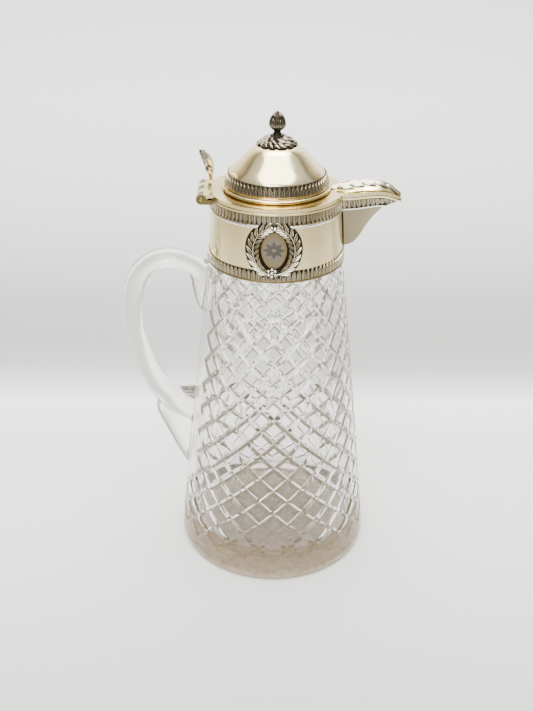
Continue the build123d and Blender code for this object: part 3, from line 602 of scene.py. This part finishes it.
def wreath_field():
    """The matt oval inside the wreath, browner round its edge."""
    rings = ((1.0, -0.05), (0.98, 0.03), (0.75, 0.03), (0.5, 0.03), (0.25, 0.03), (0.02, 0.03))
    half_width, half_height = wreath_half_width - 4, wreath_half_height - 3
    rows = [[on_collar(half_width * reach * cos(turn), wreath_middle + half_height * reach * sin(turn), out)
             for turn in ring_angles(64)] for reach, out in rings]
    return smooth(filled(sheet_mesh("wreath_field", rows, wrap=True)), 50)


def ball(x, z, out, radius):
    """A small silver ball in front of the collar."""
    deselect()
    bpy.ops.mesh.primitive_uv_sphere_add(segments=16, ring_count=10, radius=radius * MM,
                                         location=Vector(on_collar(x, z, out)) * MM, rotation=(pi / 2, 0, 0))
    return settle(named("ball"))


def flower():
    """Seven balls where the branches start, and one more where they end."""
    balls = [ball(flower_aside, flower_height, 1.9, 0.95)]
    balls += [ball(flower_aside + flower_reach * sin(turn), flower_height + flower_reach * cos(turn),
                   1.7, 0.88) for turn in ring_angles(6)]
    balls.append(ball(end_aside, end_height - 0.2, 2.2, 1.0))
    return smooth(join(balls, "wreath_balls"), 60)


def wreath_tie():
    """Two small leaves beside the ball where the branches end."""
    def lay(place, across, along, out):
        turn, reach = radians(90 + place), 0.5 + along
        return on_collar(end_aside + reach * cos(turn) - across * sin(turn),
                         end_height - 0.4 + reach * sin(turn) + across * cos(turn), ground_rise + 0.35 + out)
    return laid(laurel_leaf(0.75, 2.6, 0.8), "wreath_tie", (-70, 70), lay)


def engraved_device():
    """A rosette of eight long and eight short petals, engraved in the middle of the wreath."""
    places = [(part, 1.0) for part in range(8)] + [(part + 0.5, 0.62) for part in range(8)]
    widen, lift = 1.25, 0.3

    def lay(place, across, along, out):
        part, size = place
        turn, reach = pi * part / 4, 1.0 + along * size
        x = widen * (reach * cos(turn) - across * size * sin(turn))
        z = wreath_middle + lift + reach * sin(turn) + across * size * cos(turn)
        return on_collar(x, z, 0.05 + max(out, 0) * 0.05)
    return laid(laurel_leaf(0.85, 3.9, 0.5), "engraved_rosette", places, lay)


# -------------------------------- spout dressing
# distance from the axis, height of the rim, height of the keel and half width
spout_run = ((41.0, 238.6, 206.0, 10.2), (46.6, 238.8, 208.8, 9.3), (51.2, 239.0, 215.9, 8.3),
             (56.6, 239.0, 224.2, 7.0), (62.4, 238.2, 230.2, 5.3), (68.0, 236.1, 233.0, 3.3),
             (72.2, 234.0, 232.9, 1.4))
# distance from the axis, rise of the cover's ridge and half width of the cover
cover_stations = ((32.0, 0.9, 2.6), (38, 2.2, 6.4), (46, 3.8, 7.4), (54, 4.3, 6.6), (61, 3.9, 5.0),
                  (67, 2.6, 3.2), (71.4, 1.2, 0.9))
cover_start = 43


def between(stations, place):
    """The values at a place between the stations, which start with their own places."""
    for before, after in zip(stations, stations[1:]):
        if place <= after[0]:
            share = (place - before[0]) / (after[0] - before[0])
            return [a + (b - a) * share for a, b in zip(before[1:], after[1:])]
    return stations[-1][1:]


def on_spout(side, x, below, out):
    """A point on one of the spout's two walls, at a distance below its rim."""
    rim, keel, half = between(spout_run, x)
    slope = hypot(half, rim - keel)
    across, down = half / slope, (rim - keel) / slope
    drop = below / down
    return x, side * (half - across * drop + down * out), rim - down * drop - across * out


def spout_bands():
    """Leaves that hang from the spout's rim on both its sides, shorter towards the tip."""
    first, last, pitch = 37.5, 68.0, 2.75
    places = [(side, first + pitch * (step + 0.5)) for side in (1, -1)
              for step in range(int((last - first) / pitch))]

    def lay(place, across, along, out):
        side, x = place
        room = 1 - 0.30 * max(0, (x - 57) / 5)
        return on_spout(side, x + across, rim_height + along * max(room, 0.25), band_thickness + out)
    leaf = stiff_leaf(pitch * leaf_share, band_height - 0.2, leaf_relief)
    return laid(leaf, "spout_band_leaves", places, lay)


def spout_joint():
    """The blackened solder line where the spout's two walls meet the collar."""
    rim, keel, half = spout_run[0][1:]
    thickness = 0.5
    pieces = []
    for side in (1, -1):
        rows = []
        for step in range(17):
            height = keel + 1 + (rim - 1.5 - keel) * step / 16
            y = side * half * (height - keel) / (rim - keel)
            x = sqrt((collar_radius(height) + 0.25) ** 2 - y ** 2)
            rows.append([(x + thickness * cos(spin), y + side * thickness * sin(spin), height)
                         for spin in ring_angles(10)])
        pieces.append(filled(sheet_mesh("joint", rows, wrap=True)))
    return smooth(join(pieces, "spout_joint"), 60)


def on_cover(x, y, out):
    """A point on the roof-shaped leaf that covers the spout."""
    ridge, half = between(cover_stations, min(max(x, cover_stations[0][0]), cover_stations[-1][0]))
    foot = plate_top if x < cover_start else between(spout_run, x)[0] + plate_top - rim_split
    height = 0.4 + (ridge - 0.3) * max(0, 1 - abs(y) / half)
    return x, y, foot + height + out


def cover_lobes():
    """Overlapping lobes down both sides of the spout's cover and a reeded stem between them."""
    lobes_a_side = 5
    first = (34.5, 3.2, radians(17), 9.6, 1.45)     # where it starts, how far aside, lean, length, half width
    last = (63.0, 1.4, radians(8), 7.2, 1.05)
    tip, tip_half, widening = 72.4, 0.4, 0.62       # the cover's outline, which no lobe crosses
    places = []
    for side in (1, -1):
        for lobe in range(lobes_a_side):
            share = lobe / (lobes_a_side - 1)
            places.append((side, *(a + (b - a) * share for a, b in zip(first, last))))

    def lay(place, across, along, out):
        side, start, beside, lean, length, half = place
        x = start + along * length * cos(lean) - across * half * sin(lean)
        y = beside + along * length * sin(lean) * (1 - 0.12 * along) + across * half * cos(lean)
        limit = tip_half + (tip - x) * widening
        return on_cover(min(x, tip - 0.1), side * min(y, limit), 1.35 * out + 0.25)
    lobes = laid(petal(1.5), "cover_lobes", places, lay)

    stem_start, stem_length, half_start, half_tip = 31.6, 40.2, 3.4, 0.8

    def bend(across, along):
        x = stem_start + stem_length * along
        half = half_start + (half_tip - half_start) * along
        reed = abs(cos(2.5 * pi * across))
        sunk = 0.9 if abs(across) > 0.99 else 0
        # the fourth value darkens the grooves between the reeds, oxide and painted shade
        return (*on_cover(x, half * across, 0.35 + 0.30 * reed - sunk), max(0, 0.7 - 1.4 * reed))
    stem = bent_grid("cover_stem", 30, 32, bend)
    stem.data.transform(Matrix.Scale(MM, 4))
    return smooth(join([lobes, smooth(outward(stem), 60)], "cover_lobes"), 50)


# -------------------------------- finial and thumbpiece dressing
bud_foot, bud_top = finial_box[0][2] + 3.7, finial_box[1][2]
bud_stations = ((0.0, 1.7), (0.1, 3.2), (0.24, 4.3), (0.38, 4.5), (0.6, 3.85), (0.8, 2.5), (0.93, 1.1),
                (1.0, 0.1))    # share of the bud's height, and radius


def bud_leaves():
    """Rows of narrow pointed leaves that overlap up the bud."""
    tiers, round_bud = 3, 12
    places = [(tier, part) for tier in range(tiers) for part in range(round_bud)]

    def lay(place, across, along, out):
        tier, part = place
        share = min(tier * 0.17 + along * 0.68, 1)
        radius = between(bud_stations, share)[0] - 0.25 + out * 0.8 + 0.12 * along ** 2 * (1 - share)
        turn = 2 * pi * (part + 0.5 * (tier % 2)) / round_bud + across * 0.9 * pi / round_bud
        return radius * cos(turn), radius * sin(turn), min(bud_foot + (bud_top - bud_foot) * share, bud_top)
    return laid(laurel_leaf(1.0, 1.0, 1.0, 0.35), "bud_leaves", places, lay)


def rosette_leaf_ring():
    """Veined leaves that swirl out from under the finial, over a border of smaller ones."""
    # for each ring: its leaves, where they start, their length, half width, swirl and lift
    inner, border = (9, 3.0, 6.6, 2.6, 0.45, 0.5), (18, 6.6, 4.8, 2.0, 0.30, 0.0)
    places = [(part, *ring) for ring in (inner, border) for part in range(ring[0])]

    def lay(place, across, along, out):
        part, count, start, length, half, swirl, lift = place
        reach = start + along * length
        turn = 2 * pi * part / count + across * half / (reach + 1) + swirl * along ** 2
        flat = rosette_box[1][2] + 0.1 - 0.034 * (reach ** 2 - 9)
        return reach * cos(turn), reach * sin(turn), flat + out + lift + 0.5 * along ** 3
    return laid(petal(1.2, 2), "rosette_leaves", places, lay)


thumb_middle, thumb_rise, thumb_lobes, thumb_petal_half = plate_top + 8.4, 13.4, 9, 1.4
thumb_height, thumb_half_foot, thumb_half_shell = 21.0, 2.8, 8.6
thumb_foot_x, thumb_bulge_x, thumb_tip_x = -38.9, -37.9, -42.8


def thumb_middle_x(height):
    """Where the middle of the thumbpiece lies at a height: it bows towards the dome and back."""
    share = min(max((height - plate_top) / thumb_height, 0), 1)
    bow = 4 * (thumb_bulge_x - (thumb_foot_x + thumb_tip_x) / 2) * share * (1 - share)
    return thumb_foot_x + bow + (thumb_tip_x - thumb_foot_x) * share


def thumbpiece():
    """A stem that opens into a shell, with domed petals on both its faces."""
    def bend(across, along):
        z = plate_top - 0.2 + thumb_height * along
        shell = min(max((along - 0.28) / 0.30, 0), 1)
        top = sqrt(max(0.02, 1 - max(0, (along - 0.62) / 0.38) ** 2))
        half = (thumb_half_foot * (1 - 0.35 * sin(pi * min(1, along / 0.3))) * (1 - shell)
                + thumb_half_shell * shell) * top
        return thumb_middle_x(z), across * half, z, 0.35
    body = bent_grid("body", 16, 24, bend)
    apply_modifier(body, "SOLIDIFY", thickness=1.9, offset=0)
    body.data.transform(Matrix.Scale(MM, 4))
    places = [(face, lobe) for face in (-1, 1) for lobe in range(thumb_lobes)]

    def lay(place, across, along, out):
        face, lobe = place
        lean = radians((lobe - (thumb_lobes - 1) / 2) * 15)
        reach = thumb_rise * (1 - 0.12 * abs(sin(lean)))
        y = along * reach * sin(lean) + across * thumb_petal_half * cos(lean)
        z = thumb_middle + along * reach * cos(lean) - across * thumb_petal_half * sin(lean)
        return thumb_middle_x(z) + face * (0.8 + 1.4 * out), y, min(z, plate_top + thumb_height + 0.6)
    petals = laid(petal(1.2), "petals", places, lay)
    return smooth(join([outward(body), petals], "thumbpiece_shell"), 50)


# -------------------------------- finishes
def put(node, inputs):
    """Sets a node's inputs to values, or links them to other nodes' outputs."""
    for key, value in inputs.items():
        if isinstance(value, bpy.types.NodeSocket):
            node.id_data.links.new(value, node.inputs[key])
        else:
            node.inputs[key].default_value = (*value, 1) if node.inputs[key].type == "RGBA" else value


def made(nodes, kind, output, inputs=None, **settings):
    """A new node's output, once the node has its settings and its inputs."""
    node = nodes.new("ShaderNode" + kind)
    for key, value in settings.items():
        setattr(node, key, value)
    put(node, inputs or {})
    return node.outputs[output]


def new_material(name):
    material = bpy.data.materials.new(name)
    material.use_nodes = True
    nodes = material.node_tree.nodes
    return material, nodes, nodes["Principled BSDF"]


def mottle(nodes, scale, detail=4.0, stretch=(1, 1, 1)):
    """Noise on the object's own coordinates."""
    place = made(nodes, "TexCoord", "Object")
    mapped = made(nodes, "Mapping", "Vector", {"Vector": place, "Scale": stretch})
    return made(nodes, "TexNoise", "Fac", {"Vector": mapped, "Scale": scale, "Detail": detail})


def ramp(nodes, factor, stops):
    """A colour ramp of (place, colour) stops."""
    node = nodes.new("ShaderNodeValToRGB")
    for element, (place, colour) in zip(node.color_ramp.elements, (stops[0], stops[-1])):
        element.position, element.color = place, (*colour, 1)
    for place, colour in stops[1:-1]:
        node.color_ramp.elements.new(place).color = (*colour, 1)
    put(node, {"Fac": factor})
    return node.outputs["Color"]


def level(nodes, factor, low, high, start=0.0, end=1.0):
    """The factor brought to a range of numbers."""
    return made(nodes, "MapRange", "Result", {"Value": factor, "From Min": start, "From Max": end,
                                              "To Min": low, "To Max": high})


def mixed(nodes, factor, first, second):
    return made(nodes, "Mix", "Result", {"Factor": factor, "A": first, "B": second}, data_type="RGBA")


def recess_shade(nodes, reach, start=0.25, end=0.95):
    """Painted shade from ambient occlusion: 1 deep in recesses, 0 out in the open."""
    shade = made(nodes, "AmbientOcclusion", "AO", {"Distance": reach * MM}, samples=8)
    return level(nodes, shade, 1.0, 0.0, start, end)


def bump(nodes, surface, height, strength, depth):
    put(surface, {"Normal": made(nodes, "Bump", "Normal", {"Height": height, "Strength": strength,
                                                           "Distance": depth * MM})})


def metal_surface(nodes, surface, colour, rough):
    """A metal of a colour, its polish hazy in places, between two roughnesses."""
    put(surface, {"Base Color": colour, "Metallic": 1.0,
                  "Roughness": level(nodes, mottle(nodes, 140, 6), *rough, 0.3, 0.7)})


def silver_gilt(name, pale, warm, gold, black, rough=(0.12, 0.22), gold_reach=7.0, black_reach=1.3):
    """Worn gilding on silver: rubbed pale in the open, gold beside ornament, black in corners. Gold and black
    follow occlusion, so they are painted shade as well as gilding and oxide kept in the hollows.
    """
    material, nodes, surface = new_material(name)
    colour = ramp(nodes, mottle(nodes, 30, 4), ((0.35, pale), (0.68, warm)))
    # painted shade: darker gold where occlusion reaches, with gilding kept in hollows
    colour = mixed(nodes, recess_shade(nodes, gold_reach, 0.35, 0.85), colour, gold)
    # painted shade: black deep in corners, with oxide there
    colour = mixed(nodes, recess_shade(nodes, black_reach, 0.15, 0.75), colour, black)
    metal_surface(nodes, surface, colour, rough)
    bump(nodes, surface, mottle(nodes, 900, 3, (1, 1, 0.12)), 0.10, 0.05)
    return material


def chased(name, bright, warm, black, rough=(0.16, 0.30), deepest=1.6):
    """Chased silver-gilt: bright on its ridges, black where its per-point darkening and occlusion say: oxide
    in hollows, painted shade at edges, under lobes and in recesses.
    """
    material, nodes, surface = new_material(name)
    colour = ramp(nodes, mottle(nodes, 60, 5), ((0.35, bright), (0.68, warm)))
    # per-point darkening from the leaf shapes: oxide, and painted shade at edges and under lobes
    tarnish_and_shade = made(nodes, "Attribute", "Fac", attribute_name="tarnish_and_shade")
    # painted shade: occlusion adds black in recesses
    blackened = made(nodes, "Math", "Value", {0: tarnish_and_shade, 1: recess_shade(nodes, deepest, 0.1, 0.7)},
                     operation="ADD", use_clamp=True)
    metal_surface(nodes, surface, mixed(nodes, blackened, colour, black), rough)
    return material


def cut_glass():
    """Clear glass with a faint warm tint where light goes far through it. Lamps shine through it. Where a ray
    has bounced often inside it, it shows a pale emission: painted light.
    """
    material, nodes, surface = new_material("cut_glass")
    put(surface, {"Base Color": (0.99, 0.985, 0.975), "Transmission Weight": 1.0, "IOR": 1.5,
                  "Roughness": 0.0})
    bump(nodes, surface, mottle(nodes, 90, 2), 0.08, 0.3)
    clear = made(nodes, "BsdfTransparent", "BSDF", {"Color": (0.82, 0.79, 0.73)})
    shaded = made(nodes, "LightPath", "Is Shadow Ray")
    glass = made(nodes, "MixShader", "Shader", {"Fac": shaded, 1: surface.outputs["BSDF"], 2: clear})
    # painted light: a ray turned more than four times inside the glass meets a pale emission, standing in for
    # light that the bounce limit cuts off
    turned_often = made(nodes, "Math", "Value", {0: made(nodes, "LightPath", "Ray Depth"), 1: 4.5},
                        operation="GREATER_THAN")
    painted_glow = made(nodes, "Emission", "Emission", {"Color": (0.62, 0.56, 0.45)})
    tint = made(nodes, "VolumeAbsorption", "Volume", {"Color": (0.72, 0.60, 0.42), "Density": 9.0})
    put(nodes["Material Output"], {"Volume": tint, "Surface": made(
        nodes, "MixShader", "Shader", {"Fac": turned_often, 1: glass, 2: painted_glow})})
    return material


def ground_glass():
    """The underside of the foot, ground flat and worn."""
    material, nodes, surface = new_material("ground_glass")
    grain = mottle(nodes, 260, 6)
    put(surface, {"Base Color": ramp(nodes, grain, ((0.35, (0.22, 0.165, 0.09)), (0.65, (0.38, 0.32, 0.20)))),
                  "Roughness": 0.45, "Transmission Weight": 0.35})
    bump(nodes, surface, grain, 0.5, 0.3)
    return material


def set_plaster():
    """The plaster that beds the mount."""
    material, nodes, surface = new_material("set_plaster")
    grain = mottle(nodes, 700, 6)
    put(surface, {"Base Color": ramp(nodes, grain, ((0.3, (0.62, 0.58, 0.50)), (0.7, (0.80, 0.77, 0.70)))),
                  "Roughness": 0.85})
    bump(nodes, surface, grain, 0.4, 0.2)
    return material


# painted light and shade on the paper from front to back: distance along the floor and up the wall in m, and
# tone
painted_paper_light = ((-0.20, 0.56), (0.0, 0.78), (0.10, 0.82), (0.16, 0.96), (0.19, 0.68), (0.22, 0.48),
               (0.27, 0.42), (0.36, 0.46), (0.55, 0.76), (0.72, 0.98), (0.84, 1.0))


def backdrop_paper():
    """White paper with painted light and shade: greyer in front and where it starts to rise, and darker out
    to its sides, beyond the light.
    """
    material, nodes, surface = new_material("backdrop_paper")
    split = nodes.new("ShaderNodeSeparateXYZ")
    put(split, {"Vector": made(nodes, "TexCoord", "Object")})
    run = made(nodes, "Math", "Value", {0: split.outputs["Y"], 1: split.outputs["Z"]}, operation="ADD")
    aside = made(nodes, "Math", "Value", {0: split.outputs["X"]}, operation="ABSOLUTE")
    first, last = painted_paper_light[0][0], painted_paper_light[-1][0]
    stops = [((reach - first) / (last - first), (white, white, white * 0.985))
             for reach, white in painted_paper_light]
    tone = ramp(nodes, level(nodes, run, 0, 1, first, last), stops)
    # painted shade: darker warm grey out to the sides, where the lamps do not reach
    painted_side_shade = level(nodes, aside, 0, 1, 0.42, 0.80)
    put(surface, {"Base Color": mixed(nodes, painted_side_shade, tone, (0.38, 0.34, 0.28)), "Roughness": 0.9,
                  "Specular IOR Level": 0.1})
    return material


# a silver_gilt finish has its pale, warm, gold and black tones, and a chased one bright, warm and black; the
# gold and black darken the hollows, partly as painted shade
plain_gilt = silver_gilt("silver_gilt", (0.93, 0.83, 0.50), (0.84, 0.69, 0.34), (0.62, 0.45, 0.15),
                         (0.06, 0.04, 0.02))
spout_gilt = silver_gilt("spout_gilt", (0.28, 0.245, 0.16), (0.22, 0.175, 0.10), (0.20, 0.14, 0.05),
                         (0.05, 0.035, 0.015), gold_reach=14.0)
yellow_gilt = silver_gilt("yellow_gilt", (0.84, 0.72, 0.38), (0.74, 0.58, 0.25), (0.58, 0.41, 0.12),
                          (0.28, 0.19, 0.06))
# a darker copy of the gilt: aged, with painted shadow on the hinge bracket
aged_and_shaded_gilt = silver_gilt("aged_and_shaded_gilt", (0.20, 0.15, 0.06), (0.14, 0.10, 0.04), (0.12, 0.08, 0.03),
                        (0.02, 0.015, 0.01), (0.25, 0.35))
# near-black ground under the ornament: oxide, and painted shade where leaves and relief overhang it
oxide_and_shade_ground = silver_gilt("oxide_and_shade_ground", (0.034, 0.027, 0.018), (0.022, 0.017, 0.011), (0.02, 0.015, 0.01),
                          (0.006, 0.005, 0.003), (0.35, 0.5))
pin_metal = silver_gilt("pin_metal", (0.34, 0.26, 0.12), (0.26, 0.19, 0.08), (0.20, 0.15, 0.06),
                        (0.03, 0.02, 0.01))
chased_gilt = chased("chased_silver_gilt", (0.78, 0.72, 0.54), (0.58, 0.50, 0.33), (0.012, 0.009, 0.006))
polished = chased("rubbed_silver", (0.95, 0.93, 0.86), (0.90, 0.86, 0.74), (0.02, 0.016, 0.01),
                  (0.10, 0.16), 1.0)
band_gilt = chased("leaf_band_gilt", (0.72, 0.64, 0.45), (0.56, 0.47, 0.29), (0.030, 0.022, 0.012),
                   deepest=0.8)
rosette_gilt = chased("rosette_gilt", (0.38, 0.34, 0.25), (0.22, 0.185, 0.12), (0.010, 0.008, 0.005))
bud_gilt = chased("bud_gilt", (0.29, 0.255, 0.19), (0.19, 0.16, 0.11), (0.010, 0.008, 0.005))
engraved = chased("engraved_silver", (0.15, 0.14, 0.12), (0.12, 0.105, 0.08), (0.05, 0.04, 0.03),
                  (0.35, 0.45))


def matt_field():
    """The matt gilding inside the wreath: rubbed grey in its middle, brown-gold round its edge."""
    material, nodes, surface = new_material("matt_gilt")
    middle = (wreath_shift * MM, -collar_radius(wreath_middle) * MM, wreath_middle * MM)
    mapped = made(nodes, "Mapping", "Vector", {
        "Vector": made(nodes, "TexCoord", "Object"), "Location": middle,
        "Scale": (8.4 * MM, 40 * MM, 12 * MM)}, vector_type="TEXTURE")
    inward = made(nodes, "TexGradient", "Fac", {"Vector": mapped}, gradient_type="SPHERICAL")
    tone = level(nodes, inward, 0, 1, 0.05, 0.6)
    put(surface, {"Base Color": mixed(nodes, tone, (0.30, 0.21, 0.09), (0.235, 0.21, 0.165)), "Metallic": 1.0,
                  "Roughness": 0.42})
    return material


def finish_with(piece, *materials):
    piece.data.materials.clear()
    for material in materials:
        piece.data.materials.append(material)
    return piece


# -------------------------------- the dressed part
jug = finish_with(build_glass(), cut_glass(), ground_glass())
for face in jug.data.polygons:
    face.material_index = int(face.center.z < (foot_recess + 0.2) * MM and face.normal.z < -0.5)
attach(jug, "jug")
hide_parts("glass_body", "glass_handle")

dressing = (
    (upper_band(), "jug", band_gilt), (lower_band(), "jug", band_gilt), (dome_band(), "lid", band_gilt),
    (spout_bands(), "jug", band_gilt), (spout_joint(), "jug", oxide_and_shade_ground), (wreath(), "jug", chased_gilt),
    (wreath_ground(), "jug", oxide_and_shade_ground), (flower(), "jug", polished), (wreath_tie(), "jug", chased_gilt),
    (engraved_device(), "jug", engraved), (wreath_field(), "jug", matt_field()),
    (cover_lobes(), "lid", chased_gilt), (bud_leaves(), "lid", bud_gilt),
    (rosette_leaf_ring(), "lid", rosette_gilt), (thumbpiece(), "lid", chased_gilt))
for piece, body, finish in dressing:
    finish_with(piece, finish)
    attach(piece, body)
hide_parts("laurel_wreath")
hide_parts("wreath_flower")
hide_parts("thumbpiece")

cad_finishes = {
    plain_gilt: ("neck_collar", "lid_bezel", "lid_dome"),
    spout_gilt: ("spout_body",),
    polished: ("upper_wire", "spout_wires"),
    yellow_gilt: ("dome_foot", "spout_rim", "collar_rim", "lid_plate", "cover_leaf"),
    aged_and_shaded_gilt: ("hinge_bracket", "foot_wire"),
    oxide_and_shade_ground: ("spout_leaf_bands", "upper_leaf_band", "lower_leaf_band", "dome_leaf_band",
                  "finial_rosette", "finial"),
    pin_metal: ("hinge_pin", "finial_stud", "finial_nut"),
    set_plaster(): ("plaster_bed",)}
for finish, names in cad_finishes.items():
    for name in names:
        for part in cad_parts[name].material_slots:
            part.material = finish


# -------------------------------- stage, light and camera
def sweep():
    """A paper floor that curves up into the wall behind."""
    floor_front, floor_back, curve, wall_top, half = -1500.0, 330.0, 260.0, 1900.0, 2600.0
    profile = [(floor_front, 0.0), (floor_back, 0.0)]
    profile += [(floor_back + curve * sin(radians(turn)), curve - curve * cos(radians(turn)))
                for turn in range(6, 91, 6)]
    profile.append((floor_back + curve, wall_top))
    stage = sheet_mesh("paper_sweep", [[(-half, y, z - 0.02), (half, y, z - 0.02)] for y, z in profile])
    finish_with(smooth(stage, 60), backdrop_paper())


def lamp(name, place, aim, size, power):
    data = bpy.data.lights.new(name, "AREA")
    data.shape, data.size, data.size_y, data.energy = "RECTANGLE", size[0] * MM, size[1] * MM, power
    light = bpy.data.objects.new(name, data)
    bpy.context.scene.collection.objects.link(light)
    light.location = Vector(place) * MM
    light.rotation_euler = (Vector(aim) - Vector(place)).to_track_quat("-Z", "Y").to_euler()


def surroundings():
    """A pale room, darker low down in front, so that metal and glass have something to show."""
    world = bpy.data.worlds.new("studio")
    bpy.context.scene.world = world
    world.use_nodes = True
    nodes = world.node_tree.nodes
    height = made(nodes, "SeparateXYZ", "Z", {"Vector": made(nodes, "TexCoord", "Generated")})
    put(nodes["Background"], {"Strength": 0.9, "Color": ramp(
        nodes, height, ((0.0, (0.42, 0.40, 0.37)), (0.30, (0.50, 0.48, 0.45)), (0.55, (0.75, 0.74, 0.72)),
                        (0.8, (1.15, 1.14, 1.12))))})


def camera():
    """A camera that looks down at the jug from in front."""
    look_down, roll = 28.45, 0.5
    data = bpy.data.cameras.new("camera")
    data.lens, data.sensor_width = 48.6, 36
    eye = bpy.data.objects.new("camera", data)
    bpy.context.scene.collection.objects.link(eye)
    eye.location = Vector((-5, -532, 419)) * MM
    turned_down = Matrix.Rotation(radians(90 - look_down), 4, "X")
    eye.rotation_euler = (turned_down @ Matrix.Rotation(radians(roll), 4, "Z")).to_euler()
    bpy.context.scene.camera = eye


sweep()
surroundings()
lamp("overhead", (0, -150, 1400), (0, 0, 100), (1300, 1300), 38)
lamp("front_window", (-350, -1300, 1100), (0, -100, 100), (800, 800), 22)
lamp("back_wash", (0, 100, 1500), (0, 590, 300), (900, 300), 10)
camera()
